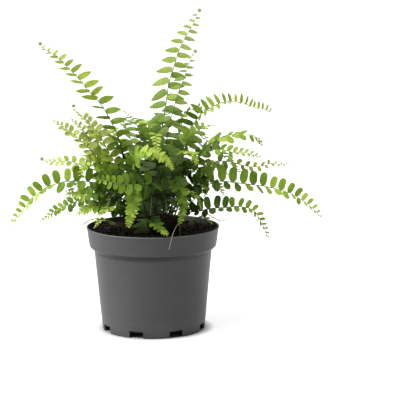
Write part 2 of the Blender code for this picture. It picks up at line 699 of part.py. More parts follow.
def grow_leaflets(rib, frond, seed, others):
    """The frond's leaflets, each in the first attitude that stays clear of what is already there.

    A place where none does holds None.
    """
    tree = others.tree()
    own = Obstacles()
    leaflets = []
    for number, (distance, share, side) in enumerate(leaflet_places(rib, frond)):
        own_tree = own.tree()
        leaflets.append((distance, side, None))
        for attempt in LEAF_TRIES:
            rng = random.Random(seed * 1000 + number)
            leaflet = Leaflet(rib, frond, distance, share, side, rng, attempt)
            guard = BVHTree.FromPolygons(*leaflet.guard())
            if tree.overlap(guard) or (own_tree and own_tree.overlap(guard)):
                continue
            leaflets[-1] = (distance, side, leaflet)
            own.add(*leaf_faces(leaflet))
            break
    return leaflets, own


def leaf_faces(leaflet):
    """The leaflet's own surface, for the leaflets that come after it."""
    root = leaflet.half_root
    points = [leaflet.spot(0, -root), *leaflet.edge(), leaflet.spot(0, root)]
    return points, zigzag(range(len(points)))


def zigzag(around):
    """Triangles in bands across an outline, from its first and last points, the root, to its tip."""
    faces = []
    low, high = 0, len(around) - 1
    while high - low > 1:
        if len(faces) % 2:
            faces.append((around[low], around[high - 1], around[high]))
            high -= 1
        else:
            faces.append((around[low], around[low + 1], around[high]))
            low += 1
    return faces


def rib_edge(rib, leaflets, side):
    """The rib's edge on one side, as (distance, leaflet that starts there or None)."""
    lead = STALK_DEPTH + STALK_LEAD
    bare = leaflets[0][0] - lead
    count = max(1, round(bare / STALK_STATION))
    stations = [(0, None)] + [(lead + bare * i / count, None) for i in range(count)]
    for distance, leaf_side, leaflet in leaflets:
        if leaf_side == side and leaflet:
            stations.append((distance - leaflet.half_root, leaflet))
            stations.append((distance + leaflet.half_root, None))
        elif leaf_side == side:
            stations.append((distance, None))
    stations.append((rib.length, None))
    return stations


def edge_point(rib, distance, side):
    point, _, across, _ = rib.at(distance)
    return point + across * (side * rib.half_width(distance))


def frond_surface(rib, leaflets):
    """Points and triangles of the whole frond: the rib as a strip, with a leaflet on each open edge."""
    points = []
    faces = []
    chains = {}
    for side in (1, -1):
        stations = rib_edge(rib, leaflets, side)
        chain = []
        for distance, _ in stations:
            chain.append((distance, len(points)))
            points.append(edge_point(rib, distance, side))
        for (_, leaflet), (_, near), (_, far) in zip(stations, chain, chain[1:]):
            if leaflet:
                faces += add_leaflet(points, leaflet, near, far)
        chains[side] = chain
    faces += strip(chains[1], chains[-1])
    faces += add_end(points, rib, chains[1][-1][1], chains[-1][-1][1])
    return points, faces


def rib_guide(rib):
    """The whole rib as a plain strip with its end leaflet, for other fronds to stay clear of."""
    count = math.ceil(rib.length / GUIDE_STATION)
    distances = [rib.length * i / count for i in range(count + 1)]
    points = [edge_point(rib, distance, side) for side in (1, -1) for distance in distances]
    left = list(zip(distances, range(count + 1)))
    right = list(zip(distances, range(count + 1, 2 * count + 2)))
    faces = strip(left, right)
    faces += add_end(points, rib, count, 2 * count + 1)
    return points, faces


def add_leaflet(points, leaflet, near, far):
    """Adds a leaflet's outline between its root points near and far, and returns its triangles."""
    edge = leaflet.edge()
    start = len(points)
    points += edge
    faces = zigzag([near, *range(start, start + len(edge)), far])
    return faces if leaflet.side == 1 else [face[::-1] for face in faces]


def strip(left, right):
    """Triangles between the rib's two edges, each a list of (distance, point index)."""
    faces = []
    i = j = 0
    while i < len(left) - 1 or j < len(right) - 1:
        if j == len(right) - 1 or (i < len(left) - 1 and left[i + 1][0] <= right[j + 1][0]):
            faces.append((left[i][1], left[i + 1][1], right[j][1]))
            i += 1
        else:
            faces.append((left[i][1], right[j + 1][1], right[j][1]))
            j += 1
    return faces


def add_end(points, rib, left, right):
    """The small leaflet at the frond's tip."""
    point, along, across, _ = rib.at(rib.length)
    start = len(points)
    points += [point + along * (0.5 * END_LEAF) + across * (side * 0.3 * END_LEAF) for side in (1, -1)]
    points.append(point + along * END_LEAF)
    return [(left, start, right), (start, start + 1, right), (start, start + 2, start + 1)]


def leaf_colour(tint):
    if tint < 0:
        return DRY_LEAF
    return tuple(dark + (light - dark) * tint for dark, light in zip(DARK_LEAF, LIGHT_LEAF))


def make_frond(name, rib, frond, leaflets, seat, collection):
    points, faces = frond_surface(rib, leaflets)
    mesh = bpy.data.meshes.new(name)
    mesh.from_pydata([(point - seat) * MM for point in points], [], faces)
    obj = add_object(name, mesh, collection, material(name, leaf_colour(frond.tint), 0.55))
    obj.location = seat * MM
    solidify = obj.modifiers.new("Thickness", "SOLIDIFY")
    solidify.thickness = BLADE_THICKNESS * MM
    solidify.offset = 0
    return obj


def filler_fronds():
    """The fronds at the back: their styles take turns, and their azimuths go round the arc in strides."""
    rng = random.Random(SEED)
    fronds = []
    for index in range(FILLER_COUNT):
        reach, peak, tip, leaf, pitch = FILLER_STYLES[index % len(FILLER_STYLES)]
        share = ((index * FILLER_STRIDE) % FILLER_COUNT + 0.5) / FILLER_COUNT
        azimuth = math.radians(FILLER_ARC[0] + (FILLER_ARC[1] - FILLER_ARC[0]) * share)
        reach *= rng.uniform(*FILLER_SIZE_RANGE)
        peak *= rng.uniform(*FILLER_PEAK_RANGE)
        bend = rng.uniform(-1, 1) * FILLER_WANDER
        path = filler_path(azimuth, reach, peak, tip, bend)
        tint = rng.uniform(*FILLER_TINT_RANGE)
        fold = rng.uniform(*FILLER_FOLD_RANGE)
        fronds.append(Frond(path, leaf, pitch, FILLER_STALK, fold=fold, tint=tint))
    return fronds


def filler_path(azimuth, reach, peak, tip, bend):
    """The points of a frond that rises from the crown to its peak and then drops to its tip."""
    out = Vector((math.cos(azimuth), math.sin(azimuth), 0))
    aside = out.cross(UP)
    base = crown_height(0)
    path = []
    for share, rise, drop in zip(FILLER_REACH_SHARES, FILLER_RISE_SHARES, FILLER_DROP_SHARES):
        height = base + (peak - base) * rise + (tip - peak) * drop
        path.append(tuple(out * (reach * share) + aside * (bend * share * share) + UP * height))
    return tuple(path)


def stem_holes(ribs, collection):
    """Boxes a little larger than the stalks and the runner that stand in them."""
    bm = bmesh.new()
    for rib in ribs:
        foot, along, across, up = rib.at(0)
        turn = Matrix((up, across, along)).transposed().to_4x4()
        place = Matrix.Translation(foot - along * GAP) @ turn
        width = 2 * (RIB_HALF_WIDTH + GAP)
        depth = BLADE_THICKNESS + 2 * GAP
        add_box(bm, (depth, width, STALK_DEPTH + GAP + STALK_LEAD), place)
    width = 2 * (RUNNER_RADIUS + GAP)
    foot = Matrix.Translation(Vector(RUNNER_PATH[0]) - UP * GAP)
    add_box(bm, (width, width, RUNNER_HOLE_DEPTH), foot)
    return cutter_object("stem_holes", bm, collection)


def make_runner(collection):
    line = even_steps(spline([Vector(point) for point in RUNNER_PATH], UP), RUNNER_STEP)
    curve = bpy.data.curves.new("runner", "CURVE")
    curve.dimensions = "3D"
    curve.bevel_depth = RUNNER_RADIUS * MM
    curve.bevel_resolution = 0
    curve.use_fill_caps = True
    spline_points = curve.splines.new("POLY").points
    spline_points.add(len(line) - 1)
    for spline_point, point in zip(spline_points, line):
        spline_point.co = (*(point * MM), 1)
    tube = add_object("runner_curve", curve, collection)
    graph = bpy.context.evaluated_depsgraph_get()
    mesh = bpy.data.meshes.new_from_object(tube.evaluated_get(graph))
    bpy.data.objects.remove(tube)
    bm = bmesh.new()
    bm.from_mesh(mesh)
    bmesh.ops.remove_doubles(bm, verts=bm.verts, dist=0.00001)
    bm.to_mesh(mesh)
    bm.free()
    mesh.name = "runner"
    mesh.materials.clear()
    return add_object("runner", mesh, collection, material("runner", RUNNER_COLOUR, 0.6))


def grow_fronds(fronds, ribs, seats, solids, collection):
    """Makes every frond in turn: its leaflets keep clear of the solids, of the other ribs and leaflets."""
    grown = Obstacles()
    for solid in solids:
        grown.add_object(solid)
    guides = [rib_guide(rib) for rib in ribs]
    for index, (frond, rib, seat) in enumerate(zip(fronds, ribs, seats)):
        others = Obstacles()
        others.add(grown.points, grown.faces)
        for other, (points, faces) in enumerate(guides):
            if other != index:
                others.add(points, faces)
        leaflets, own = grow_leaflets(rib, frond, SEED + index, others)
        grown.add(own.points, own.faces)
        make_frond(f"frond_{index + 1:02d}", rib, frond, leaflets, seat, collection)


def main():
    clear_scene()
    collection = new_collection("boston_fern")
    cutters = new_collection("cutters")
    fronds = [*PLACED_FRONDS, *filler_fronds()]
    seats = take_seats(fronds)
    lines = [frond_line(frond, seat) for frond, seat in zip(fronds, seats)]
    part_lines(lines)
    ribs = [Rib(frond, line) for frond, line in zip(fronds, lines)]
    holes = stem_holes(ribs, cutters)
    pot = make_pot(collection, cutters)
    soil = make_soil(collection, holes)
    crown = make_crown(collection, holes)
    runner = make_runner(collection)
    grow_fronds(fronds, ribs, seats, (pot, soil, crown, runner), collection)


main()
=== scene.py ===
import json
import math
import random
from typing import NamedTuple

import bmesh
import bpy
import numpy as np
from mathutils import Matrix, Vector, noise
from mathutils.bvhtree import BVHTree
from mathutils.kdtree import KDTree


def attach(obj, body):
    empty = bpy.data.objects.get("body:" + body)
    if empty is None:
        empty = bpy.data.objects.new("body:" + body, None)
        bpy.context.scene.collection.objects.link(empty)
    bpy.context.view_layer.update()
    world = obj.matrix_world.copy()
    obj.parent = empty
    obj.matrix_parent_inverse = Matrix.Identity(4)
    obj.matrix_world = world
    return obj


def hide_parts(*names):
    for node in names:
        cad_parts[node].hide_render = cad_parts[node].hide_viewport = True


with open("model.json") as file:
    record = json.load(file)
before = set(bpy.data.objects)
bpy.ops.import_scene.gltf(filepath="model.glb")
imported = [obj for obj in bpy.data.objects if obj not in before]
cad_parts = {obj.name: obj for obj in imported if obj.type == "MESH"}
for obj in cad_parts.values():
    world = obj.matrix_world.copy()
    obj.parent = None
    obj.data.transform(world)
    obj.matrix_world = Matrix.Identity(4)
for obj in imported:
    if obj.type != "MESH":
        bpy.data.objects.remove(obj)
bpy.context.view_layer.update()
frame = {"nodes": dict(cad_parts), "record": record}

# Sizes are in millimetres, angles in degrees. MM turns a size into metres where a mesh is made.
MM = 0.001
UP = Vector((0, 0, 1))

# Pot
RIM_RADIUS = 60.0
POT_HEIGHT = 94.0
COLLAR_HEIGHT = 18.0
COLLAR_FOOT_RADIUS = 57.2
SHOULDER_RADIUS = 53.2
SHOULDER_DROP = 3.0
FOOT_RADIUS = 46.5
WALL = 1.1
FOOT_WALL = 1.6
FLOOR_THICKNESS = 1.2
FLOOR_RISE = 4.0
DISC_RADIUS = 17.0
DISC_SLOPE = 3.0
POT_SEGMENTS = 160
LIP_RADIUS = 0.75
FLOOR_CORNER = 1.2
POT_SHARP_FOLD = 40.0
SLOT_COUNT = 8
SLOT_WIDTH = 13.0
SLOT_HEIGHT = 6.5
SLOT_REACH = 6.0
SLOT_TURN = 27.0

# Soil, with (radius, height) down its side, its crumbs and the crown
SOIL_TOP = 89.6
SOIL_LUMP = 1.1
SOIL_EDGE = 57.2
SOIL_RADIUS = 57.3
SOIL_RINGS = 70
SOIL_SEGMENTS = 200
SOIL_SIDE = ((51.0, 74.0), (45.2, 6.4))
CRUMB_COUNT = 520
CRUMB_SIZES = (1.0, 1.3, 1.6, 2.1, 2.6, 3.4)
CRUMBS_FROM = 22.0
CRUMBS_TO = 55.6
CRUMB_LIMIT = 57.5
CROWN_RADIUS = 24.0
CROWN_SHOULDER = 91.5
CROWN_RISE = 15.5
CROWN_DEPTH = 6.8
CROWN_SCALES = 900
CROWN_SCALE_LENGTHS = (2.2, 5.0)
CROWN_SCALE_HALF_WIDTHS = (0.2, 0.5)
LUMP_WAVES = ((0.31, 0.17, 0.0, 0.36), (-0.41, 0.23, 1.3, 0.36), (0.11, 0.57, 0.6, 0.28))
SOCKET_RINGS = ((4.5, 4, 0.0), (10.5, 9, 0.5), (16.5, 14, 0.2), (21.3, 19, 0.6))
FAN_POINT = Vector((0, 0, 58.0))

# Stalks and ribs
STALK_DEPTH = 7.0
STALK_LEAD = 4.0
STALK_RADIUS = 0.72
TIP_RADIUS = 0.22
STALK_STATION = 1.5
STALK_SCALES = 26
STALK_SCALE_LENGTHS = (1.4, 2.8)
STALK_SCALE_HALF_WIDTHS = (0.16, 0.3)
SCALY_STALK = 34.0
LEAST_BARE_STALK = 6.0
LINE_STEP = 2.0
LINE_CLEARANCE = 3.6
PARTING_ROUNDS = 80
FINE_STEPS = 24
GUIDE_STATION = 6.0
CURL_STEPS = 34
CURL_TURNS = 2.2
CURL_RADII = (1.5, 0.25)
CURL_ROOM = 3.0
CURL_TONE = 1.2
CURL_ALONG = (1.2, 1.6)

# Leaflets
END_LEAF = 4.5
LEAF_CLEARANCE = 0.12
LEAF_THICKNESS = 0.3
LEAF_SAG = 0.07
LEAF_DROOP = 0.07
TOOTH_DEPTH = 0.07
FIRST_LEAF_SIZE = 0.72
LEAF_SIZE_RISE = 2.2
BARE_SIZE_RISE = 0.9
LEAST_LEAF_SIZE = 0.45
TIP_LEAF_LOSS = 0.76
TIP_SPLAY_LOSS = 22.0
TIP_CROWDING = 0.5
EASE_START = 0.42
EASE_SHARE = 0.2
CUP_RANGE = (0.02, 0.2)
WAVE_RANGE = (0.03, 0.09)
LEAF_CURL = 14.0
SAG_RANGE = (0.4, 1.9)
DROOP_RANGE = (0.2, 2.0)
SIZE_WANDER = 0.07
WIDTH_RANGE = (0.94, 1.06)
SPLAY_WANDER = 6.0
TURN_WANDER = 11.0
WEBBED_WANDER = 4.0
TWIST_SHARE = 1.25
SHARP_FOLD = 62.0
SEED = 11

# How light leaflets are: at the blade's start, by tint, and towards its tip; painted shade darkens them round
# the bush's heart
BASE_TONE = 0.205
TINT_TONE = 0.44
TIP_RISE = 0.12
TINT_TIP_RISE = 0.48
BARE_TONE_FALL = 0.2
TONE_WANDER = 0.12
HEART = Vector((0, 0, 118))
HEART_REACH = 70.0
INNER_SHADE = 0.6

# What a leaflet tries in turn to find room: (lift, twist, lean, size)
LEAF_TURNS = ((0, 0, 0), (14, 0, 0), (-14, 0, 0), (0, 22, 0), (0, -22, 0), (0, 0, -14), (26, 10, 0),
              (-26, -10, 0), (40, 0, -10), (-40, 0, -10))
LEAF_TRIES = [(*turn, size) for size in (1.0, 0.8, 0.62, 0.46) for turn in LEAF_TURNS]

# A leaflet's mesh has five points at each station. An outline gives the half-widths at KEYS of the side
# towards the frond's tip and of the other one, then the width as a share of the length, and the bow.
ACROSS = np.array((-1.0, -0.5, 0.0, 0.5, 1.0))
STATIONS = np.array((0, 0.05, 0.12, 0.2, 0.3, 0.4, 0.5, 0.6, 0.7, 0.79, 0.87, 0.93, 0.975))
KEYS = (0, 0.06, 0.15, 0.28, 0.45, 0.62, 0.78, 0.9, 0.97, 1.0)
OUTLINES = {
    "oval": ((0.34, 0.74, 0.98, 1.04, 1.02, 1.0, 0.93, 0.74, 0.46, 0.0),
             (0.22, 0.42, 0.72, 0.94, 1.03, 1.02, 0.95, 0.76, 0.48, 0.0), 0.54, 0.0),
    "round": ((0.4, 0.72, 0.94, 1.02, 1.03, 1.01, 0.93, 0.72, 0.46, 0.0),
              (0.3, 0.56, 0.82, 0.97, 1.03, 1.02, 0.94, 0.74, 0.47, 0.0), 0.62, 0.0),
    "sickle": ((0.6, 1.04, 1.2, 1.2, 1.12, 0.98, 0.7, 0.36, 0.14, 0.0),
               (0.2, 0.42, 0.66, 0.86, 0.92, 0.84, 0.58, 0.3, 0.11, 0.0), 0.44, -0.2),
    "blade": ((0.7, 1.06, 1.16, 1.16, 1.1, 0.98, 0.74, 0.42, 0.18, 0.0),
              (0.3, 0.56, 0.8, 0.94, 0.98, 0.88, 0.64, 0.36, 0.14, 0.0), 0.33, -0.16),
    "webbed": ((1.0, 1.04, 1.06, 1.05, 0.99, 0.88, 0.66, 0.38, 0.18, 0.0),
               (1.0, 1.0, 0.98, 0.95, 0.88, 0.76, 0.54, 0.3, 0.14, 0.0), 0.62, 0.0),
}
SCALE_LOOPS = [0, 1, 2, 0, 3, 1, 1, 3, 2, 2, 3, 0]

# A frond's bake map: its stalk, curl and scales lie in a strip below its leaflets
STALK_MAP = (0.01, 0.01, 0.8, 0.08)
CURL_MAP = (0.82, 0.01, 0.9, 0.08)
SCALE_SPOT = (0.95, 0.05)
LEAVES_FROM = 0.1
STALK_SIDES = 7
CURL_SIDES = 8

# Colours from dark to light, each with its place
LEAF_STOPS = ((0.0, (0.008, 0.018, 0.002)), (0.3, (0.045, 0.096, 0.007)), (0.52, (0.18, 0.3, 0.02)),
              (0.76, (0.44, 0.55, 0.075)), (1.0, (0.57, 0.63, 0.18)))
LEAF_SHIFTS = {"leaf_light": 0.05, "leaf_mid": 0.0, "leaf_dark": -0.04}
DRY_STOPS = ((0.25, (0.07, 0.04, 0.02)), (0.5, (0.2, 0.13, 0.06)), (0.8, (0.36, 0.27, 0.14)))
DRY_STALK = ((0.0, (0.05, 0.03, 0.015)), (0.5, (0.16, 0.1, 0.05)), (1.0, (0.3, 0.22, 0.12)))
# Green stalks run from near black at the foot to green further out: brown stalk bases, deepened with painted
# shade near the crown.
GREEN_STALK = ((0.0, (0.012, 0.008, 0.004)), (0.25, (0.02, 0.02, 0.008)), (0.5, (0.06, 0.075, 0.02)),
               (1.0, (0.22, 0.27, 0.08)))
RUNNER_SKIN = ((0.0, (0.09, 0.08, 0.045)), (0.5, (0.16, 0.145, 0.085)), (1.0, (0.24, 0.22, 0.14)))
SCALE_STOPS = ((0.0, (0.012, 0.007, 0.004)), (0.35, (0.045, 0.026, 0.012)), (0.8, (0.14, 0.09, 0.045)))
# The crown's stops are near black: its brown scales with painted shade from the fronds round it.
CROWN_AND_SHADE_STOPS = ((0.3, (0.004, 0.003, 0.002)), (0.55, (0.014, 0.009, 0.005)), (0.8, (0.05, 0.032, 0.017)))
# The soil's stops are darker than its own dark brown, with painted shade from the foliage over it.
SOIL_AND_SHADE_STOPS = ((0.2, (0.004, 0.003, 0.002)), (0.55, (0.012, 0.009, 0.005)), (0.78, (0.032, 0.021, 0.011)),
              (0.9, (0.1, 0.062, 0.032)))
POT_STOPS = ((0.3, (0.036, 0.0365, 0.038)), (0.7, (0.046, 0.0465, 0.048)))
FLOOR_STOPS = ((0.3, (0.3, 0.3, 0.3)), (0.7, (0.32, 0.32, 0.32)))

# Camera and room, with places in metres
LENS = 142.97
CAMERA_PLACE = (0.0445, -1.478, 0.364)
CAMERA_DIP = 9.79
CAMERA_TILT = -0.22
FLOOR_REACH = 30.0
GLOW_RING = (0.045, 0.056)
FLOOR_GLOW = 0.74
WORLD_STRENGTH = 0.22


class Frond(NamedTuple):
    """One frond. path ends at the tip, stalk is the share without leaflets, and foot its place in the soil.

    Without a foot it grows from the crown, in the socket that its path's first point is nearest to.
    The higher its taper, the nearer to its tip its leaflets shrink. splays are the angles between its
    leaflets and its rib, lifts what is added to their fold, and turns how far they are twisted about
    their own length, each for side 1 and side -1. Where it eases, lifts and turns fade towards the tip.
    The fine leaflets are closer than the pitch and larger than leaf by those factors, and leave only
    the share bare of the stalk free. A frond with curl ends in a young spiral.
    """

    path: tuple
    leaf: float
    pitch: float
    stalk: float
    roll: float = 0.0
    fold: float = 12.0
    facing: float | None = None
    foot: tuple | None = None
    tint: float = 0.5
    taper: float = 1.7
    splays: tuple = (80, 80)
    lifts: tuple = (0, 0)
    shape: str = "oval"
    close: float = 0.78
    bare: float = 0.55
    curl: bool = False
    turns: tuple = (0, 0)
    eases: bool = False
    larger: float = 1.0


PLACED_FRONDS = (
    # Tall ones: upper left, the two at the top and upper right
    Frond(((-22, 8, 145), (-31, 10, 174), (-37, 10, 187), (-44, 10, 200), (-50, 10, 208), (-57, 10, 215),
           (-63, 10, 223), (-70, 10, 231), (-77, 10, 238), (-82, 10, 243), (-89, 10, 249), (-96, 10, 253),
           (-100, 10, 257)), 14.5, 11, 0.42, roll=48, fold=38, tint=0.62, taper=3.2, splays=(92, 50),
          lifts=(0, -34), shape="sickle", close=0.98, bare=0.7, curl=True, turns=(0, 80)),
    Frond(((5, 9, 140), (10, 12, 189), (13, 13, 206), (15, 13, 221), (20, 13, 237), (24, 13, 250),
           (28, 13, 259), (32, 13, 266), (37, 13, 274), (40, 13, 281), (41, 13, 288)), 16, 12, 0.36,
          facing=-90, fold=6, tint=0.7, taper=3.0, splays=(109, 74), shape="sickle", close=0.94, bare=0.7,
          curl=True),
    Frond(((10, 0, 140), (15, 1, 184), (19, 2, 198), (22, 2, 209), (28, 2, 225), (32, 2, 236),
           (35, 2, 244), (38, 2, 253)), 11.5, 11, 0.48, facing=-90, tint=0.66, taper=3, splays=(108, 72),
          shape="sickle", close=0.94, bare=0.7, curl=True),
    Frond(((22, 4, 140), (29, 5, 170), (37, 8, 185), (44, 10, 194), (50, 12, 198), (58, 15, 202),
           (65, 18, 204), (73, 22, 204), (83, 26, 202), (92, 30, 198), (101, 33, 196), (109, 35, 192)),
          27, 10, 0.3, roll=-35, fold=36, tint=0.5, taper=0.5, splays=(104, 92), shape="blade",
          close=0.72, larger=1.04),
    # Right side, from the top down
    Frond(((28, -6, 135), (47, -6, 164), (55, -9, 171), (63, -10, 176), (72, -10, 178), (80, -10, 179),
           (89, -10, 177), (96, -10, 173), (99, -10, 166)), 12.5, 8.5, 0.42, roll=-25, fold=-8, tint=0.38,
          taper=3, splays=(62, 70), close=0.88, bare=0.5),
    Frond(((24, -10, 128), (46, -16, 163), (55, -20, 166), (64, -23, 166), (72, -25, 164), (81, -27, 164),
           (87, -28, 163), (93, -29, 161), (98, -30, 159)), 12.5, 9.5, 0.38, roll=-30, fold=20, tint=0.32,
          taper=2.4, close=0.8, larger=0.9, bare=0.35),
    Frond(((28, 4, 120), (54, 10, 149), (68, 10, 151), (79, 10, 148), (88, 10, 146), (95, 10, 146),
           (102, 10, 147), (107, 10, 149), (116, 10, 148), (121, 10, 148), (125, 10, 146)), 10.5, 11,
          0.32, roll=-40, tint=0.45, close=0.84),
    Frond(((22, -12, 122), (43, -14, 134), (54, -16, 137), (64, -18, 137), (74, -19, 136), (84, -20, 135),
           (91, -20, 134), (99, -20, 133), (108, -20, 131), (115, -20, 129), (124, -20, 126),
           (129, -20, 123), (134, -21, 120), (140, -21, 116), (145, -22, 111), (151, -23, 104)), 15.5, 11,
          0.3, roll=-50, fold=38, tint=0.45, taper=2.8, splays=(80, 96), close=0.88, bare=0.3,
          turns=(-25, 0), eases=True, larger=0.95),
    Frond(((26, -10, 112), (45, -13, 110), (54, -14, 112), (67, -15, 113), (75, -15, 114), (82, -15, 113),
           (87, -15, 112), (92, -15, 109), (95, -15, 104), (98, -15, 98), (101, -15, 92), (103, -15, 85)),
          12.5, 9, 0.3, roll=-48, fold=36, tint=0.48, taper=1.1, close=0.82, larger=1.08, bare=0.35),
    Frond(((16, 0, 140), (21, -6, 157), (30, -10, 170), (38, -14, 179), (44, -17, 184), (50, -20, 187),
           (56, -22, 187)), 12, 9.5, 0.36, facing=-80, fold=4, tint=0.56, taper=3, shape="round",
          close=0.52, larger=1.16, bare=0.25),
    Frond(((14, -10, 130), (23, -26, 159), (29, -34, 166), (34, -42, 166), (38, -47, 163),
           (40, -50, 156)), 13, 9, 0.36, tint=0.4, taper=3, shape="webbed", close=0.62),
    Frond(((20, -2, 112), (41, -4, 122), (50, -6, 132), (57, -7, 133), (62, -7, 128), (63, -7, 121)), 14,
          9.5, 0.3, roll=-45, tint=0.72, close=0.5, larger=0.8),
    # Left side, from the top down
    Frond(((-20, 0, 125), (-41, 0, 165), (-47, 0, 177), (-54, 0, 185), (-59, 0, 191), (-64, 0, 195),
           (-68, 0, 199), (-73, 0, 201)), 11.5, 10, 0.34, roll=40, tint=0.85, taper=4, splays=(96, 60),
          shape="round", close=0.74, curl=True, larger=0.92),
    Frond(((-18, 10, 130), (-48, 14, 152), (-54, 14, 164), (-58, 14, 173), (-62, 13, 179), (-66, 13, 184),
           (-70, 12, 187), (-75, 12, 191)), 11, 10, 0.36, roll=35, tint=0.85, taper=4, splays=(96, 60),
          shape="round", close=0.74, larger=0.92),
    Frond(((-24, 4, 130), (-44, 5, 146), (-52, 5, 158), (-58, 5, 165), (-65, 5, 172), (-71, 5, 177),
           (-77, 5, 182), (-83, 5, 186), (-90, 5, 190)), 12, 10, 0.36, roll=40, tint=0.9, taper=4,
          splays=(94, 66), shape="round", close=0.74, larger=0.92),
    Frond(((-28, 6, 118), (-50, 8, 142), (-59, 9, 146), (-67, 10, 149), (-73, 10, 151), (-79, 10, 152),
           (-84, 10, 151), (-90, 10, 151), (-96, 10, 152), (-100, 10, 150)), 10.5, 10, 0.36, roll=45,
          tint=0.64, taper=4, shape="round", close=0.8, curl=True, larger=0.88),
    Frond(((-20, -6, 122), (-47, -11, 133), (-59, -14, 137), (-67, -15, 137), (-77, -15, 137),
           (-85, -15, 135), (-94, -15, 132), (-102, -15, 126), (-108, -15, 122), (-112, -15, 116),
           (-117, -15, 110), (-122, -15, 104), (-127, -15, 96)), 15, 10.5, 0.3, roll=50, fold=38,
          tint=0.48, taper=2.4, splays=(96, 80), close=0.9, bare=0.35),
    Frond(((-20, -4, 112), (-49, -5, 125), (-57, -5, 123), (-67, -5, 118), (-76, -5, 114), (-82, -5, 112),
           (-89, -5, 108), (-95, -5, 103), (-103, -5, 98)), 9.5, 9, 0.3, roll=50, fold=20, tint=0.4,
          taper=2.2, shape="round", close=0.72, bare=0.35, larger=1.06),
    Frond(((-22, -14, 118), (-44, -22, 128), (-53, -25, 128), (-62, -25, 127), (-67, -25, 127),
           (-72, -25, 128), (-77, -25, 130)), 10, 8, 0.4, roll=55, fold=20, tint=0.48, taper=3,
          shape="round", close=0.74, bare=0.35),
    Frond(((-20, -16, 110), (-43, -23, 117), (-50, -25, 116), (-55, -26, 115), (-61, -28, 113),
           (-66, -30, 109)), 13, 8, 0.3, roll=40, tint=0.38, taper=2.4, shape="webbed", close=0.66,
          bare=0.35),
    Frond(((-36, -10, 132), (-44, -18, 150), (-53, -24, 157), (-59, -28, 153), (-63, -30, 143)), 13, 9,
          0.34, roll=35, tint=0.45, bare=0.35),
    Frond(((-14, -2, 140), (-19, -4, 173), (-24, -8, 187), (-29, -14, 192), (-33, -22, 192)), 15, 10,
          0.38, tint=0.5, taper=3, shape="blade", close=0.7),
    # Towards the front, and a last one at the right
    Frond(((-6, -20, 140), (-15, -36, 152), (-15, -43, 161), (-9, -48, 166), (0, -51, 168), (7, -54, 166),
           (14, -57, 161), (20, -60, 153)), 13.5, 7.5, 0.38, roll=-35, facing=0, tint=0.4, taper=1.4,
          shape="webbed", close=0.64, larger=1.14),
    Frond(((6, -26, 122), (6, -42, 139), (0, -48, 140), (-9, -51, 140), (-21, -53, 140), (-32, -54, 142),
           (-40, -55, 144), (-49, -56, 145)), 13, 8.5, 0.44, roll=62, facing=180, fold=20, tint=0.24,
          close=0.86, bare=0.85, larger=1.12),
    Frond(((-5, -26, 120), (-9, -43, 131), (-12, -49, 135), (-14, -52.5, 132), (-15, -55, 125),
           (-16, -57, 118), (-18, -58.5, 111), (-20, -59, 102)), 12.5, 7.5, 0.36, facing=-90, tint=0.37,
          taper=1.2, splays=(88, 108), shape="webbed", close=0.64, larger=1.2),
    Frond(((12, -22, 130), (8, -34, 138), (16, -40, 143), (22, -45, 143), (25, -49, 136), (27, -51, 129),
           (28, -53, 122), (27, -54.5, 115), (25, -56, 104)), 11.5, 7.5, 0.34, facing=-68, tint=0.28,
          taper=1.4, splays=(84, 96), shape="webbed", close=0.66, larger=1.18),
    Frond(((0, -8, 150), (2, -20, 172), (4, -34, 182), (5, -46, 178), (6, -54, 170)), 13, 9, 0.38,
          tint=0.42, bare=0.35),
    Frond(((-14, -20, 108), (-28, -34, 118), (-40, -42, 116), (-50, -48, 106)), 13, 9, 0.3, tint=0.5,
          bare=0.35),
    Frond(((22, 0, 114), (42, 4, 135), (50, 3, 145), (57, 2, 149), (64, 0, 145), (69, -2, 138)), 12, 9,
          0.3, roll=-45, tint=0.72, taper=2.4, close=0.52, larger=0.82),
    # Short ones that stand in the soil beside the crown
    Frond(((-4, -43, 104), (-2, -47, 107), (2, -51, 106), (7, -55, 102), (16, -60.5, 95)), 12.5, 7.5,
          0.22, foot=(0, -36), tint=0.3, taper=1.3, shape="webbed", close=0.7, larger=1.2),
    Frond(((-46, -8, 101), (-55, -7, 101), (-60, -6, 98), (-66, -5, 93)), 7, 7, 0.3, foot=(-35, -9),
          tint=0.45),
    Frond(((46, 0, 106), (53, 0, 102), (62, 0, 98), (72, 0, 102)), 3, 9, 0.3, foot=(42, 1), tint=-1.0),
    Frond(((40, -22, 104), (47, -26, 106), (54, -30, 100)), 10, 7.5, 0.3, foot=(35, -18), tint=0.4,
          shape="webbed", close=0.7),
    Frond(((-38, -28, 103), (-45, -33, 104), (-51, -38, 98)), 10, 7.5, 0.3, foot=(-32, -24), tint=0.5,
          shape="webbed", close=0.7),
    # Short dark ones that hang in front of the crown
    Frond(((-4, -20, 112), (-2, -30, 125), (0, -37, 128), (0, -42, 122), (-1, -44, 111)), 11, 9, 0.3,
          tint=0.0, bare=0.2, close=0.48),
    Frond(((6, -20, 112), (8, -28, 124), (11, -35, 129), (13, -40, 121), (14, -42, 111)), 11, 9, 0.3,
          tint=0.0, bare=0.2, close=0.48),
    Frond(((-16, -16, 112), (-23, -24, 126), (-31, -30, 129), (-37, -34, 123), (-40, -36, 113)), 11, 9,
          0.3, tint=0.0, bare=0.2, close=0.48),
    Frond(((16, -14, 112), (26, -20, 124), (35, -26, 128), (41, -30, 123), (44, -33, 113)), 11, 9.5, 0.3,
          tint=0.66, bare=0.35, close=0.46, larger=0.78),
)

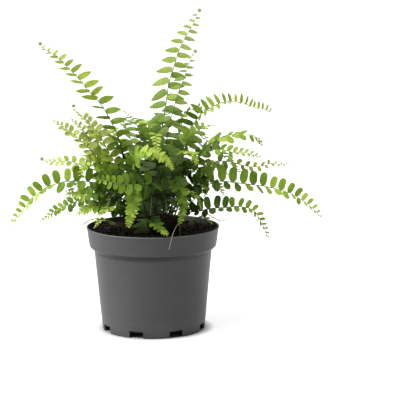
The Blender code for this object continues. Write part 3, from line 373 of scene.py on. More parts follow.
# The fronds that fill the back, by the CAD source's rule
FILLER_COUNT = 12
FILLER_ARC = (16.0, 164.0)
FILLER_STRIDE = 5
FILLER_STYLES = (
    (62, 198, 194, 14, 15),
    (104, 166, 132, 15, 15),
    (84, 180, 160, 14, 15),
    (98, 138, 104, 14, 15),
)
FILLER_WANDER = 5.0
FILLER_REACH_SHARES = (0.24, 0.48, 0.68, 0.88, 1.0)
FILLER_RISE_SHARES = (0.52, 0.92, 1.0, 1.0, 1.0)
FILLER_DROP_SHARES = (0.0, 0.0, 0.0, 0.6, 1.0)
FILLER_SIZE_RANGE = (0.9, 1.1)
FILLER_PEAK_RANGE = (0.95, 1.05)
FILLER_TINT_RANGE = (0.2, 0.8)
FILLER_FOLD_RANGE = (2.0, 22.0)
FILLER_LOOK = {"stalk": 0.36, "shape": "blade", "close": 0.5, "bare": 0.3, "larger": 1.12}

RUNNER_PATH = ((25, -36, 83), (25, -36, 92), (25, -40, 100), (23, -47, 103), (21, -54, 101),
               (19, -60, 97), (17.6, -62.6, 92), (16.6, -63, 88), (15.6, -62.6, 84))
RUNNER_STATION = 0.8
RUNNER_RADIUS = 0.42
RUNNER_THINNING = 0.2
RUNNER_SIDES = 8



def lump(x, y):
    """An uneven height between about -1 and 1, the same as in the CAD source."""
    return sum(height * math.sin(a * x + b * y + start) for a, b, start, height in LUMP_WAVES)


def crown_height(radius):
    return CROWN_SHOULDER + CROWN_RISE * math.sqrt(max(0.0, 1 - (radius / CROWN_RADIUS) ** 2))


def around(radius, angle, *height):
    """A point at an angle round the pot's axis, with its height if that is given."""
    return (radius * math.cos(angle), radius * math.sin(angle), *height)


def held_between(value, low, high):
    return min(max(value, low), high)


def hermite(start, end, leave, arrive, share):
    square = share * share
    cube = square * share
    here = start * (2 * cube - 3 * square + 1) + end * (3 * square - 2 * cube)
    return here + leave * (cube - 2 * square + share) + arrive * (cube - square)


def spline(points, leave):
    """Close points along a smooth curve through the given ones, which sets off in the direction leave."""
    gaps = [(b - a).length for a, b in zip(points, points[1:])]
    slopes = [leave.normalized()]
    for i in range(1, len(gaps)):
        slopes.append((points[i + 1] - points[i - 1]) / (gaps[i - 1] + gaps[i]))
    slopes.append((points[-1] - points[-2]) / gaps[-1])
    curve = []
    for i, gap in enumerate(gaps):
        for step in range(FINE_STEPS):
            leaving, arriving = slopes[i] * gap, slopes[i + 1] * gap
            curve.append(hermite(points[i], points[i + 1], leaving, arriving, step / FINE_STEPS))
    return [*curve, points[-1]]


def even_steps(curve, step):
    """Points at equal distances along a curve of close points."""
    spaced = [curve[0]]
    carried = 0.0
    for a, b in zip(curve, curve[1:]):
        length = (b - a).length
        while carried + length >= step:
            a = a.lerp(b, (step - carried) / length)
            length = (b - a).length
            carried = 0.0
            spaced.append(a)
        carried += length
    return spaced


def take_seats(fronds):
    """Each frond's foot, as in the CAD source."""
    free = [Vector(around(radius, math.tau * (step + turn) / count, crown_height(radius)))
            for radius, count, turn in SOCKET_RINGS for step in range(count)]
    seats = {}
    for index in sorted(range(len(fronds)), key=lambda i: fronds[i].path[0][2]):
        frond = fronds[index]
        if frond.foot:
            seats[index] = Vector((*frond.foot, SOIL_TOP + SOIL_LUMP * lump(*frond.foot)))
            continue
        aim = Vector(frond.path[0])
        share = (crown_height(0) - FAN_POINT.z) / (aim.z - FAN_POINT.z)
        aim = FAN_POINT + (aim - FAN_POINT) * share
        seats[index] = min(free, key=lambda point: math.hypot(point.x - aim.x, point.y - aim.y))
        free.remove(seats[index])
    return [seats[index] for index in range(len(fronds))]


def stalk_direction(frond, seat):
    if frond.foot:
        lean = Vector(frond.path[0]) - seat
        return (lean + UP * lean.length).normalized()
    return (seat - FAN_POINT).normalized()


def frond_line(frond, seat):
    """Points every LINE_STEP from the stalk's foot in its hole to the root of its end leaflet."""
    out = stalk_direction(frond, seat)
    path = frond.path if frond.foot else frond.path[1:]
    curve = [seat - out * STALK_DEPTH, *spline([seat + out * STALK_LEAD, *map(Vector, path)], out)]
    return even_steps(curve, LINE_STEP)[: -round(END_LEAF / LINE_STEP)]


def part_lines(lines):
    """Bends the lines apart where they pass closer than LINE_CLEARANCE, leaving their feet in place."""
    held = math.ceil((STALK_DEPTH + STALK_LEAD) / LINE_STEP)
    for _ in range(PARTING_ROUNDS):
        tree = KDTree(sum(map(len, lines)))
        owners = []
        for owner, line in enumerate(lines):
            for point in line:
                tree.insert(point, len(owners))
                owners.append(owner)
        tree.balance()
        for owner, line in enumerate(lines):
            moves = [parting(tree, owners, owner, point) for point in line]
            for i in range(held, len(line)):
                after = moves[min(i + 1, len(line) - 1)]
                line[i] = line[i] + (moves[i - 1] + moves[i] * 2 + after) / 4


def parting(tree, owners, owner, point):
    move = Vector((0, 0, 0))
    for other, index, distance in tree.find_range(point, LINE_CLEARANCE):
        if owners[index] != owner and distance > 0:
            move += (point - other) * (0.5 * (LINE_CLEARANCE - distance) / distance)
    return move


def filler_fronds():
    rng = random.Random(SEED)
    fronds = []
    for index in range(FILLER_COUNT):
        reach, peak, tip, leaf, pitch = FILLER_STYLES[index % len(FILLER_STYLES)]
        share = ((index * FILLER_STRIDE) % FILLER_COUNT + 0.5) / FILLER_COUNT
        azimuth = math.radians(FILLER_ARC[0] + (FILLER_ARC[1] - FILLER_ARC[0]) * share)
        reach *= rng.uniform(*FILLER_SIZE_RANGE)
        peak *= rng.uniform(*FILLER_PEAK_RANGE)
        bend = rng.uniform(-1, 1) * FILLER_WANDER
        path = filler_path(azimuth, reach, peak, tip, bend)
        tint = rng.uniform(*FILLER_TINT_RANGE)
        fold = rng.uniform(*FILLER_FOLD_RANGE)
        fronds.append(Frond(path, leaf, pitch, fold=fold, tint=tint, **FILLER_LOOK))
    return fronds


def filler_path(azimuth, reach, peak, tip, bend):
    out = Vector(around(1, azimuth, 0))
    aside = out.cross(UP)
    base = crown_height(0)
    path = []
    for share, rise, drop in zip(FILLER_REACH_SHARES, FILLER_RISE_SHARES, FILLER_DROP_SHARES):
        height = base + (peak - base) * rise + (tip - peak) * drop
        path.append(tuple(out * (reach * share) + aside * (bend * share * share) + UP * height))
    return tuple(path)


class Rib:
    """The line that a frond's rib follows, and the directions of its blade at any distance along it."""

    def __init__(self, frond, line):
        self.length = LINE_STEP * (len(line) - 1)
        self.end = self.length + END_LEAF
        step = line[-1] - line[-2]
        beyond = math.ceil(END_LEAF / LINE_STEP)
        self.line = line + [line[-1] + step * count for count in range(1, beyond + 1)]
        self.roll = math.radians(frond.roll)
        reach = line[-1] - line[0]
        azimuth = math.atan2(reach.y, reach.x) if frond.facing is None else math.radians(frond.facing)
        self.across = Vector(around(1, azimuth, 0)).cross(UP)

    def at(self, distance):
        """(point, along, side, up) at a distance from the foot, up to the end of the rib's thin tip."""
        place = held_between(distance / LINE_STEP, 0, len(self.line) - 1.001)
        i = int(place)
        point = self.line[i].lerp(self.line[i + 1], place - i)
        along = (self.line[min(i + 2, len(self.line) - 1)] - self.line[max(i - 1, 0)]).normalized()
        side = (self.across - along * self.across.dot(along)).normalized()
        side = side * math.cos(self.roll) + side.cross(along) * math.sin(self.roll)
        return point, along, side, side.cross(along)

    def radius(self, distance):
        return STALK_RADIUS + (TIP_RADIUS - STALK_RADIUS) * (distance / self.end) ** 0.8


class Leaflet:
    """A leaflet at a distance along the rib, on side 1 or -1, with its own directions."""

    def __init__(self, rib, frond, distance, share, side, rng, attempt):
        lift, twist, lean, size = attempt
        self.forward, self.backward, width, self.bow = OUTLINES[frond.shape]
        self.side = side
        self.share = share
        late = held_between(share, 0.0, 1.0)
        held = 1 - held_between((share - EASE_START) / EASE_SHARE, 0.0, 1.0) if frond.eases else 1.0
        row = 0 if side == 1 else 1
        grown = FIRST_LEAF_SIZE + (LEAF_SIZE_RISE if share > 0 else BARE_SIZE_RISE) * share
        grown = held_between(grown, LEAST_LEAF_SIZE, 1.0) * (1 - TIP_LEAF_LOSS * late**frond.taper)
        if distance > rib.length:
            grown *= 1 - 0.5 * (distance - rib.length) / END_LEAF
        self.length = frond.leaf * frond.larger * grown * size * (1 + rng.uniform(-1, 1) * SIZE_WANDER)
        self.half_width = 0.5 * width * self.length * rng.uniform(*WIDTH_RANGE)
        point, along, across, up = rib.at(distance)
        wander = WEBBED_WANDER if frond.shape == "webbed" else TURN_WANDER
        fold = math.radians(frond.fold + frond.lifts[row] * held + lift + rng.uniform(-1, 1) * wander)
        splay = frond.splays[row] - TIP_SPLAY_LOSS * late + lean
        splay = math.radians(splay + rng.uniform(-1, 1) * SPLAY_WANDER)
        flat = across * (side * math.sin(splay)) + along * math.cos(splay)
        self.out = flat * math.cos(fold) + up * math.sin(fold)
        wide = (along - self.out * along.dot(self.out)).normalized()
        twist += frond.turns[row] * held
        twist = math.radians(side * (twist + rng.uniform(-1, 1) * TWIST_SHARE * wander))
        self.wide = Matrix.Rotation(twist, 3, self.out) @ wide
        self.up = self.out.cross(self.wide) * side
        self.root = point + across * (side * 0.5 * rib.radius(distance))
        self.cup = rng.uniform(*CUP_RANGE)
        self.wave = rng.uniform(*WAVE_RANGE)
        self.wave_start = rng.uniform(0, math.tau)
        self.curl = math.radians(rng.uniform(-LEAF_CURL, LEAF_CURL))
        self.sag = LEAF_SAG * rng.uniform(*SAG_RANGE)
        self.droop = LEAF_DROOP * rng.uniform(*DROOP_RANGE)
        self.tone = rng.uniform(-1, 1)

    def spot(self, outward, widthways, lift=0.0):
        lift -= self.sag * self.length * outward * outward
        bow = widthways + self.bow * self.length * outward * outward
        place = self.root + self.out * (outward * self.length) + self.wide * bow + self.up * lift
        place.z -= self.droop * self.length * outward * outward
        return place

    def outline(self, gap=0.0, webbed=False):
        """A plain outline as (share of the length, distance across), of the outer half alone if webbed."""
        half = self.half_width
        near = [(0.06, 0.3 * half), (0.25, half + gap), (0.7, 0.9 * half + gap)]
        if webbed:
            near = [(0.5, 0.85 * half), (0.7, 0.7 * half)]
        return [(out, -wide) for out, wide in near] + [(1, 0)] + near[::-1]

    def guard(self, webbed=False):
        """The leaflet with the gap to its neighbours, as points and faces."""
        outline = self.outline(LEAF_CLEARANCE, webbed)
        thick = LEAF_CLEARANCE + LEAF_THICKNESS
        points = [self.spot(*place, lift) for lift in (-thick, thick) for place in outline]
        count = len(outline)
        faces = [tuple(range(count)), tuple(range(count, 2 * count))]
        faces += [(i, (i + 1) % count, (i + 1) % count + count, i + count) for i in range(count)]
        return points, faces

    def surface(self):
        """A few faces that stand for the leaflet when later ones look for room."""
        return [self.spot(*place) for place in self.outline()], [(0, 1, 5, 6), (1, 2, 4, 5), (2, 3, 4)]


class Obstacles:
    """Points and faces that leaflets stay clear of."""

    def __init__(self):
        self.points = []
        self.faces = []

    def add(self, points, faces):
        start = len(self.points)
        self.points += points
        self.faces += [tuple(start + index for index in face) for face in faces]

    def tree(self):
        return BVHTree.FromPolygons(self.points, self.faces) if self.faces else None


def leaflet_places(rib, frond):
    """(distance, share of the CAD blade, side) of every leaflet, left and right in turn."""
    cad_start = frond.stalk * rib.length
    distance = max(frond.bare * cad_start, STALK_DEPTH + STALK_LEAD + LEAST_BARE_STALK)
    end = rib.end - (CURL_ROOM if frond.curl else 0.5)
    places = []
    while distance < end:
        share = (distance - cad_start) / (rib.length - cad_start)
        places.append((distance, share, -1 if len(places) % 2 else 1))
        crowding = 1 - TIP_CROWDING * held_between(share, 0, 1) ** 2
        distance += 0.5 * (frond.pitch * frond.close) * crowding
    return places


def rib_guide(rib):
    """The whole rib as a plain crossed strip, for other fronds to stay clear of."""
    count = math.ceil(rib.length / GUIDE_STATION)
    points, faces = [], []
    for i in range(count + 1):
        distance = rib.length * i / count
        point, _, across, up = rib.at(distance)
        radius = rib.radius(distance)
        points += [point + across * radius, point - across * radius, point + up * radius, point - up * radius]
    for a in range(0, 4 * count, 4):
        faces += [(a, a + 4, a + 5, a + 1), (a + 2, a + 6, a + 7, a + 3)]
    return points, faces


def grow_leaflets(rib, frond, seed, others):
    """The frond's leaflets, each in the first attitude that stays clear of what is already there."""
    tree = others.tree()
    own = Obstacles()
    leaflets = []
    webbed = frond.shape == "webbed"
    for number, (distance, share, side) in enumerate(leaflet_places(rib, frond)):
        own_tree = own.tree()
        for attempt in LEAF_TRIES:
            rng = random.Random(seed * 1000 + number)
            leaflet = Leaflet(rib, frond, distance, share, side, rng, attempt)
            if tree.overlap(BVHTree.FromPolygons(*leaflet.guard())):
                continue
            if own_tree and own_tree.overlap(BVHTree.FromPolygons(*leaflet.guard(webbed))):
                continue
            leaflets.append(leaflet)
            own.add(*leaflet.guard(webbed))
            break
    return leaflets


class Shape:
    """One mesh in the making, with a bake map and what its materials read: tone, along, across and under."""

    def __init__(self):
        self.points, self.loops, self.totals, self.uvs, self.slots, self.under = [], [], [], [], [], []
        self.values = {"tone": [], "along": [], "across": []}
        self.count = 0

    def add(self, points, loops, totals, uvs, slot, tone, along, across, under=None):
        self.points.append(points)
        self.loops.append(np.asarray(loops) + self.count)
        self.totals.append(np.asarray(totals))
        self.uvs.append(uvs)
        self.slots.append(np.full(len(totals), slot))
        self.under.append(np.zeros(len(totals)) if under is None else under)
        for parts, value in zip(self.values.values(), (tone, along, across)):
            parts.append(np.broadcast_to(value, len(points)))
        self.count += len(points)

    def mesh(self, name, materials):
        totals = joined(self.totals, np.int32)
        loops = joined(self.loops, np.int32)
        made = bpy.data.meshes.new(name)
        made.vertices.add(self.count)
        made.vertices.foreach_set("co", (joined(self.points) * MM).ravel())
        made.loops.add(len(loops))
        made.loops.foreach_set("vertex_index", loops)
        made.polygons.add(len(totals))
        made.polygons.foreach_set("loop_start", joined([[0], np.cumsum(totals)[:-1]], np.int32))
        for finish in materials:
            made.materials.append(finish)
        made.polygons.foreach_set("material_index", joined(self.slots, np.int32))
        made.update(calc_edges=True)
        made.uv_layers.new(name="OFBake").uv.foreach_set("vector", joined(self.uvs).ravel())
        for key, parts in self.values.items():
            made.attributes.new(key, "FLOAT", "POINT").data.foreach_set("value", joined(parts))
        made.attributes.new("under", "FLOAT", "FACE").data.foreach_set("value", joined(self.under))
        made.validate()
        made.shade_smooth()
        made.set_sharp_from_angle(angle=math.radians(SHARP_FOLD))
        return made


def joined(parts, kind=np.float32):
    return np.concatenate(parts).astype(kind)


def leaf_template():
    """Faces of a leaflet's closed thin solid, as (vertex, station, across, below) corners."""
    rows = len(STATIONS)
    tip = 5 * rows

    def top(k, j):
        return (k * 5 + j, STATIONS[k], ACROSS[j], 0)

    def bottom(k, j):
        index = k * 5 + j if j in (0, 4) else tip + 1 + 3 * k + j - 1
        return (index, STATIONS[k], ACROSS[j], 1)

    faces = []
    for k in range(rows - 1):
        for j in range(4):
            faces.append([top(k, j), top(k + 1, j), top(k + 1, j + 1), top(k, j + 1)])
            faces.append([bottom(k, j + 1), bottom(k + 1, j + 1), bottom(k + 1, j), bottom(k, j)])
    for j in range(4):
        faces.append([top(rows - 1, j), (tip, 1.0, 0.0, 0), top(rows - 1, j + 1)])
        faces.append([bottom(rows - 1, j + 1), (tip, 1.0, 0.0, 1), bottom(rows - 1, j)])
    faces.append([top(0, j) for j in range(5)] + [bottom(0, j) for j in (3, 2, 1)])
    return faces


def template_arrays(faces):
    corners = [corner for face in faces for corner in face]
    loops = np.array([corner[0] for corner in corners])
    uvs = np.array([(0.04 + 0.92 * s, 0.5 * b + 0.03 + 0.22 * (t + 1)) for _, s, t, b in corners])
    totals = np.array([len(face) for face in faces])
    return loops, totals, uvs, np.array([face[0][3] for face in faces], float)


LEAF_ARRAYS = {side: template_arrays([face[::side] for face in leaf_template()]) for side in (1, -1)}


def leaf_points(leaf):
    """The vertices of a leaflet, with how far along in millimetres and how far across each lies."""
    s = STATIONS[:, None]
    teeth = 1 - TOOTH_DEPTH * (np.arange(len(STATIONS)) % 2)[:, None]
    forward = np.interp(STATIONS, KEYS, leaf.forward)[:, None]
    backward = np.interp(STATIONS, KEYS, leaf.backward)[:, None]
    across = np.broadcast_to(ACROSS, (len(STATIONS), 5))
    edge = np.where(np.abs(across) == 1, teeth, 1.0)
    half = np.where(across > 0, forward, backward) * leaf.half_width * edge
    size = np.abs(across)
    z = leaf.cup * size * (1.7 - size) * half
    z = z + leaf.wave * leaf.half_width * np.sin(9 * s + leaf.wave_start + 0.8 * across) * across**2
    thick = 0.5 * LEAF_THICKNESS * (1 - across**2) * (1.15 - 0.5 * s)
    tops, unders = (bent_points(leaf, s, across * half, height) for height in (z + thick, z - thick))
    tip = np.array(leaf.spot(1.0, 0.0))[None]
    points = np.concatenate([tops.reshape(-1, 3), tip, unders[:, 1:4].reshape(-1, 3)])
    along = np.broadcast_to(s * leaf.length, (len(STATIONS), 5))
    alongs = np.concatenate([along.ravel(), [leaf.length], along[:, 1:4].ravel()])
    acrosses = np.concatenate([across.ravel(), [0.0], across[:, 1:4].ravel()])
    return points, alongs, acrosses


def bent_points(leaf, s, y, z):
    """Points of the leaflet from its own coordinates, bent along its length."""
    twist = leaf.curl * s
    turned_y = y * np.cos(twist) - z * np.sin(twist) + leaf.bow * leaf.length * s**2
    turned_z = y * np.sin(twist) + z * np.cos(twist) - leaf.sag * leaf.length * s**2
    points = np.array(leaf.root) + (s * leaf.length)[..., None] * np.array(leaf.out)
    points = points + turned_y[..., None] * np.array(leaf.wide) + turned_z[..., None] * np.array(leaf.up)
    points[..., 2] -= leaf.droop * leaf.length * np.broadcast_to(s, points.shape[:2]) ** 2
    return points


def path_frames(points):
    """Two directions square to a path at each of its points, turning as little as they can."""
    along = np.gradient(points, axis=0)
    along /= np.linalg.norm(along, axis=1)[:, None]
    helper = np.array((1.0, 0, 0)) if abs(along[0][0]) < 0.7 else np.array((0, 1.0, 0))
    normal = np.cross(along[0], helper)
    normals = []
    for direction in along:
        normal = normal - direction * normal.dot(direction)
        normal = normal / np.linalg.norm(normal)
        normals.append(normal)
    normals = np.array(normals)
    return normals, np.cross(along, normals)


def add_tube(shape, points, radii, sides, slot, tone, uv_box, along=(0.0, 1.0)):
    """A closed tube along a path, whose "along" runs between the two given values."""
    points = np.asarray(points, float)
    a, b = path_frames(points)
    angles = np.arange(sides) * math.tau / sides
    ring = np.cos(angles)[None, :, None] * a[:, None] + np.sin(angles)[None, :, None] * b[:, None]
    verts = points[:, None] + ring * np.asarray(radii)[:, None, None]
    rows = len(points)
    loops, uvs = [], []
    u0, v0, u1, v1 = uv_box
    for k in range(rows - 1):
        left, right = (u0 + (u1 - u0) * i / (rows - 1) for i in (k, k + 1))
        for j in range(sides):
            n = (j + 1) % sides
            loops += [k * sides + j, k * sides + n, (k + 1) * sides + n, (k + 1) * sides + j]
            low, high = (v0 + (v1 - v0) * i / sides for i in (j, j + 1))
            uvs += [(left, low), (left, high), (right, high), (right, low)]
    loops += [*range(sides)][::-1] + [(rows - 1) * sides + j for j in range(sides)]
    totals = [4] * (sides * (rows - 1)) + [sides, sides]
    uvs += [(u0, v0)] * sides + [(u1, v1)] * sides
    along = np.repeat(np.linspace(*along, rows), sides)
    shape.add(verts.reshape(-1, 3), loops, totals, uvs, slot, tone, along, np.tile(np.cos(angles), rows))


def add_scale(shape, corners, slot, uv_at, tone, along):
    """A papery scale: two corners at its root, one a little above them, and its tip."""
    shape.add(np.array(corners), SCALE_LOOPS, [3] * 4, [uv_at] * 12, slot, tone, along, 0.0)


def add_stalk_scales(shape, rib, rng):
    """Thin papery scales round the lower stalk."""
    for _ in range(STALK_SCALES):
        distance = STALK_DEPTH + SCALY_STALK * rng.random() ** 1.6
        point, along, across, up = rib.at(distance)
        angle = rng.uniform(0, math.tau)
        out = across * math.cos(angle) + up * math.sin(angle)
        side = along.cross(out)
        root = point + out * (rib.radius(distance) * 0.8)
        length = rng.uniform(*STALK_SCALE_LENGTHS)
        tip = root + along * (length * 0.8) + out * (length * rng.uniform(0.25, 0.7))
        half = rng.uniform(*STALK_SCALE_HALF_WIDTHS)
        corners = [root - side * half, root + side * half, root + along * 0.25 + out * 0.18, tip]
        add_scale(shape, corners, 2, SCALE_SPOT, rng.random(), rng.random())


def crozier_path(rib):
    """The curled tip of a young frond: a spiral that goes on from the rib's end."""
    point, along, _, _ = rib.at(rib.end)
    aside = along.cross(Vector((0, 1, 0))).normalized()
    points, radii = [], []
    here = Vector(point)
    heading = 0.0
    for i in range(CURL_STEPS):
        share = i / (CURL_STEPS - 1)
        radius = CURL_RADII[0] + (CURL_RADII[1] - CURL_RADII[0]) * share
        arc = CURL_TURNS * math.tau / CURL_STEPS
        points.append(here.copy())
        radii.append(0.36 + 0.2 * share)
        heading += arc
        here += (along * math.cos(heading) - aside * math.sin(heading)) * (radius * arc)
    return points, radii


def leaf_tone(frond, leaf):
    """How light a leaflet is: young fronds and the outer ends are lime, old fronds dark, and painted shade
    darkens the leaflets round the bush's heart.
    """
    tint = max(frond.tint, 0.0)
    # Painted shade: leaflets near the bush's heart are darkened, as the bush shades its own middle.
    inner = max(0.0, 1 - (leaf.root - HEART).length / HEART_REACH) * (1 - 0.6 * tint)
    rise = TIP_RISE + TINT_TIP_RISE * tint
    tone = BASE_TONE + TINT_TONE * tint + rise * max(leaf.share, 0) ** 1.2
    tone += BARE_TONE_FALL * min(leaf.share, 0)
    return tone + TONE_WANDER * leaf.tone - INNER_SHADE * inner


def frond_shape(rib, frond, leaflets, rng):
    """A frond's mesh, with material 0 on its leaflets, 1 on its stalk and 2 on its scales."""
    shape = Shape()
    columns = max(1, math.ceil(math.sqrt(len(leaflets) * 1.3)))
    rows = max(1, math.ceil(len(leaflets) / columns))
    for number, leaf in enumerate(leaflets):
        points, alongs, acrosses = leaf_points(leaf)
        loops, totals, uvs, under = LEAF_ARRAYS[leaf.side]
        column, row = number % columns, number // columns
        corner = np.array((column / columns, LEAVES_FROM + (1 - LEAVES_FROM) * row / rows))
        spread = uvs * (1 / columns, (1 - LEAVES_FROM) / rows) + corner
        shape.add(points, loops, totals, spread, 0, leaf_tone(frond, leaf), alongs, acrosses, under)
    steps = np.arange(0, rib.end + 0.1, STALK_STATION)
    line = [rib.at(distance)[0] for distance in steps]
    radii = [rib.radius(distance) for distance in steps]
    add_tube(shape, line, radii, STALK_SIDES, 1, frond.tint, STALK_MAP)
    if frond.curl:
        add_tube(shape, *crozier_path(rib), CURL_SIDES, 1, CURL_TONE, CURL_MAP, CURL_ALONG)
    add_stalk_scales(shape, rib, rng)
    return shape


# Materials. Each helper finds its node tree through the socket or node that it is given.


def feed(node, inputs):
    """Links or sets a node's inputs, by name or number."""
    for name, value in inputs.items():
        if isinstance(value, bpy.types.NodeSocket):
            node.id_data.links.new(value, node.inputs[name])
        else:
            node.inputs[name].default_value = value


def add_node(tree, kind, inputs, **settings):
    made = tree.nodes.new(kind)
    for name, value in settings.items():
        setattr(made, name, value)
    feed(made, inputs)
    return made


def maths(operation, *values):
    tree = next(value.id_data for value in values if isinstance(value, bpy.types.NodeSocket))
    return add_node(tree, "ShaderNodeMath", dict(enumerate(values)), operation=operation).outputs[0]


def plus(first, second):
    return maths("ADD", first, second)


def minus(first, second):
    return maths("SUBTRACT", first, second)


def times(first, second):
    return maths("MULTIPLY", first, second)


def mix(factor, first, second, blend="MIX"):
    inputs = {0: factor, 6: first, 7: second if isinstance(second, bpy.types.NodeSocket) else (*second, 1)}
    return add_node(first.id_data, "ShaderNodeMix", inputs, data_type="RGBA", blend_type=blend).outputs[2]


def ramp(factor, stops):
    made = add_node(factor.id_data, "ShaderNodeValToRGB", {"Fac": factor})
    elements = made.color_ramp.elements
    while len(elements) < len(stops):
        elements.new(0.5)
    for element, (place, colour) in zip(elements, stops):
        element.position = place
        element.color = (*colour, 1)
    return made.outputs[0]


def attribute(tree, name):
    return add_node(tree, "ShaderNodeAttribute", {}, attribute_name=name).outputs["Fac"]


def coordinates(tree):
    return add_node(tree, "ShaderNodeTexCoord", {}).outputs["Object"]


def textured(where, scale, detail=3.0, rough=0.55, stretch=None):
    """Noise at a scale per metre, between 0 and 1."""
    if stretch:
        where = add_node(where.id_data, "ShaderNodeMapping", {"Vector": where, "Scale": stretch}).outputs[0]
    inputs = {"Vector": where, "Scale": scale, "Detail": detail, "Roughness": rough}
    return add_node(where.id_data, "ShaderNodeTexNoise", inputs).outputs["Fac"]


def mapped(value, low, high, to_low=0.0, to_high=1.0):
    inputs = {0: value, 1: low, 2: high, 3: to_low, 4: to_high}
    return add_node(value.id_data, "ShaderNodeMapRange", inputs).outputs[0]


def bump(shader, height, strength, distance):
    inputs = {"Height": height, "Strength": strength, "Distance": distance}
    made = add_node(shader.id_data, "ShaderNodeBump", inputs).outputs[0]
    feed(shader, {"Normal": made})
    return made


def new_material(name):
    """(material, node tree, shader, object coordinates)"""
    made = bpy.data.materials.new(name)
    made.use_nodes = True
    tree = made.node_tree
    return made, tree, tree.nodes["Principled BSDF"], coordinates(tree)


def coat(shader, colour, roughness, specular):
    feed(shader, {"Base Color": colour, "Roughness": roughness, "Specular IOR Level": specular})


def leaf_material(name, shift):
    """A leaf blade: mottled, veined, with a pale midrib and underside, and light that comes through."""
    made, tree, shader, where = new_material(name)
    across = maths("ABSOLUTE", attribute(tree, "across"))
    mottle = textured(where, 240, 3)
    tone = plus(plus(attribute(tree, "tone"), times(minus(mottle, 0.5), 0.28)), shift)
    colour = ramp(plus(tone, times(mapped(across, 0.6, 1.0), 0.05)), LEAF_STOPS)
    midrib = mapped(across, 0.03, 0.14, 1, 0)
    lines = minus(maths("DIVIDE", attribute(tree, "along"), 1.15), times(across, 1.4))
    veins = mapped(maths("PINGPONG", lines, 0.5), 0.0, 0.16, 1, 0)
    colour = mix(times(veins, 0.22), colour, (0.05, 0.12, 0.02))
    colour = mix(times(midrib, 0.4), colour, mix(0.5, colour, (0.4, 0.5, 0.14)))
    colour = mix(times(attribute(tree, "under"), 0.4), colour, (0.26, 0.36, 0.14))
    coat(shader, colour, mapped(mottle, 0.3, 0.7, 0.42, 0.58), 0.18)
    height = minus(times(textured(where, 1600, 2), 0.25), times(veins, 0.35))
    normal = bump(shader, minus(height, times(midrib, 0.8)), 0.5, 0.00025)
    glow = mix(0.55, colour, (0.55, 0.73, 0.08), "SOFT_LIGHT")
    through = add_node(tree, "ShaderNodeBsdfTranslucent", {"Color": glow, "Normal": normal})
    both = add_node(tree, "ShaderNodeMixShader", {0: 0.36, 1: shader.outputs[0], 2: through.outputs[0]})
    feed(tree.nodes["Material Output"], {"Surface": both.outputs[0]})
    return made


def stalk_material(name, stops):
    made, tree, shader, where = new_material(name)
    streaks = textured(where, 900, 3)
    place = plus(attribute(tree, "along"), times(minus(streaks, 0.5), 0.3))
    coat(shader, ramp(place, stops), 0.55, 0.2)
    bump(shader, streaks, 0.4, 0.0002)
    return made


def scale_material():
    made, tree, shader, where = new_material("papery_scales")
    shade = times(attribute(tree, "tone"), textured(where, 1400, 2))
    coat(shader, ramp(shade, SCALE_STOPS), 0.7, 0.15)
    return made


def dry_material():
    made, _, shader, where = new_material("dry_leaf")
    mottle = textured(where, 500, 4)
    coat(shader, ramp(mottle, DRY_STOPS), 0.8, 0.5)
    bump(shader, mottle, 0.6, 0.0004)
    return made


def pot_material():
    """Moulded grey plastic: turning marks, scuffs, a painted highlight along the lip, painted shade in the
    crease under the collar and dust low down.
    """
    made, tree, shader, where = new_material("moulded_plastic")
    z = add_node(tree, "ShaderNodeSeparateXYZ", {0: where}).outputs["Z"]
    cloud = textured(where, 28, 4)
    scuffs = mapped(textured(where, 60, 6, 0.7, (1, 1, 5)), 0.58, 0.72)
    # Painted shade: a dark band in the crease under the collar, where the collar casts its shadow.
    crease_shade = times(mapped(z, 0.0702, 0.0722), mapped(z, 0.0748, 0.0766, 1, 0))
    # Painted highlight: a lighter band along the top of the lip, where the rim catches the light.
    lip = mapped(z, 0.0929, 0.0937)
    dust = times(mapped(z, 0.0, 0.018, 1, 0), mapped(cloud, 0.35, 0.65))
    colour = ramp(cloud, POT_STOPS)
    colour = mix(times(scuffs, 0.22), colour, (0.1, 0.1, 0.102))
    colour = mix(times(crease_shade, 0.8), colour, (0.008, 0.008, 0.0085))
    colour = mix(times(lip, 0.5), colour, (0.12, 0.12, 0.122))
    colour = mix(times(dust, 0.35), colour, (0.11, 0.1, 0.085))
    coat(shader, colour, plus(mapped(cloud, 0.3, 0.7, 0.4, 0.5), times(scuffs, 0.14)), 0.3)
    rings = maths("SINE", times(z, 5200))
    bump(shader, plus(times(textured(where, 900, 3), 0.6), times(rings, 0.12)), 0.18, 0.00015)
    return made


def soil_material():
    made, tree, shader, where = new_material("potting_soil")
    cells = add_node(tree, "ShaderNodeTexVoronoi", {"Vector": where, "Scale": 520})
    shade = add_node(tree, "ShaderNodeSeparateColor", {0: cells.outputs["Color"]}).outputs[0]
    grain = textured(where, 700, 5, 0.7)
    # Dark brown soil, made darker still with painted shade from the foliage.
    coat(shader, ramp(plus(times(shade, 0.5), times(grain, 0.5)), SOIL_AND_SHADE_STOPS), 0.9, 0.1)
    bump(shader, grain, 0.9, 0.0012)
    return made


def crown_material():
    made, _, shader, where = new_material("scaly_crown")
    fibres = textured(where, 420, 5, 0.7, (1, 1, 0.25))
    # Brown scaly crown, made near black with painted shade from the fronds round it.
    coat(shader, ramp(fibres, CROWN_AND_SHADE_STOPS), 0.85, 0.1)
    bump(shader, fibres, 0.8, 0.001)
    return made


# Pieces


def add_object(name, data):
    made = bpy.data.objects.new(name, data)
    bpy.context.scene.collection.objects.link(made)
    return made


def add_piece(mesh, slot, *replaced):
    """A piece of the plant, which has its mesh's name."""
    piece = add_object(mesh.name, mesh)
    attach(piece, "root")
    if replaced:
        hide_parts(*replaced)


def add_smooth_piece(mesh, material, slot, *replaced):
    mesh.materials.append(material)
    mesh.shade_smooth()
    add_piece(mesh, slot, *replaced)


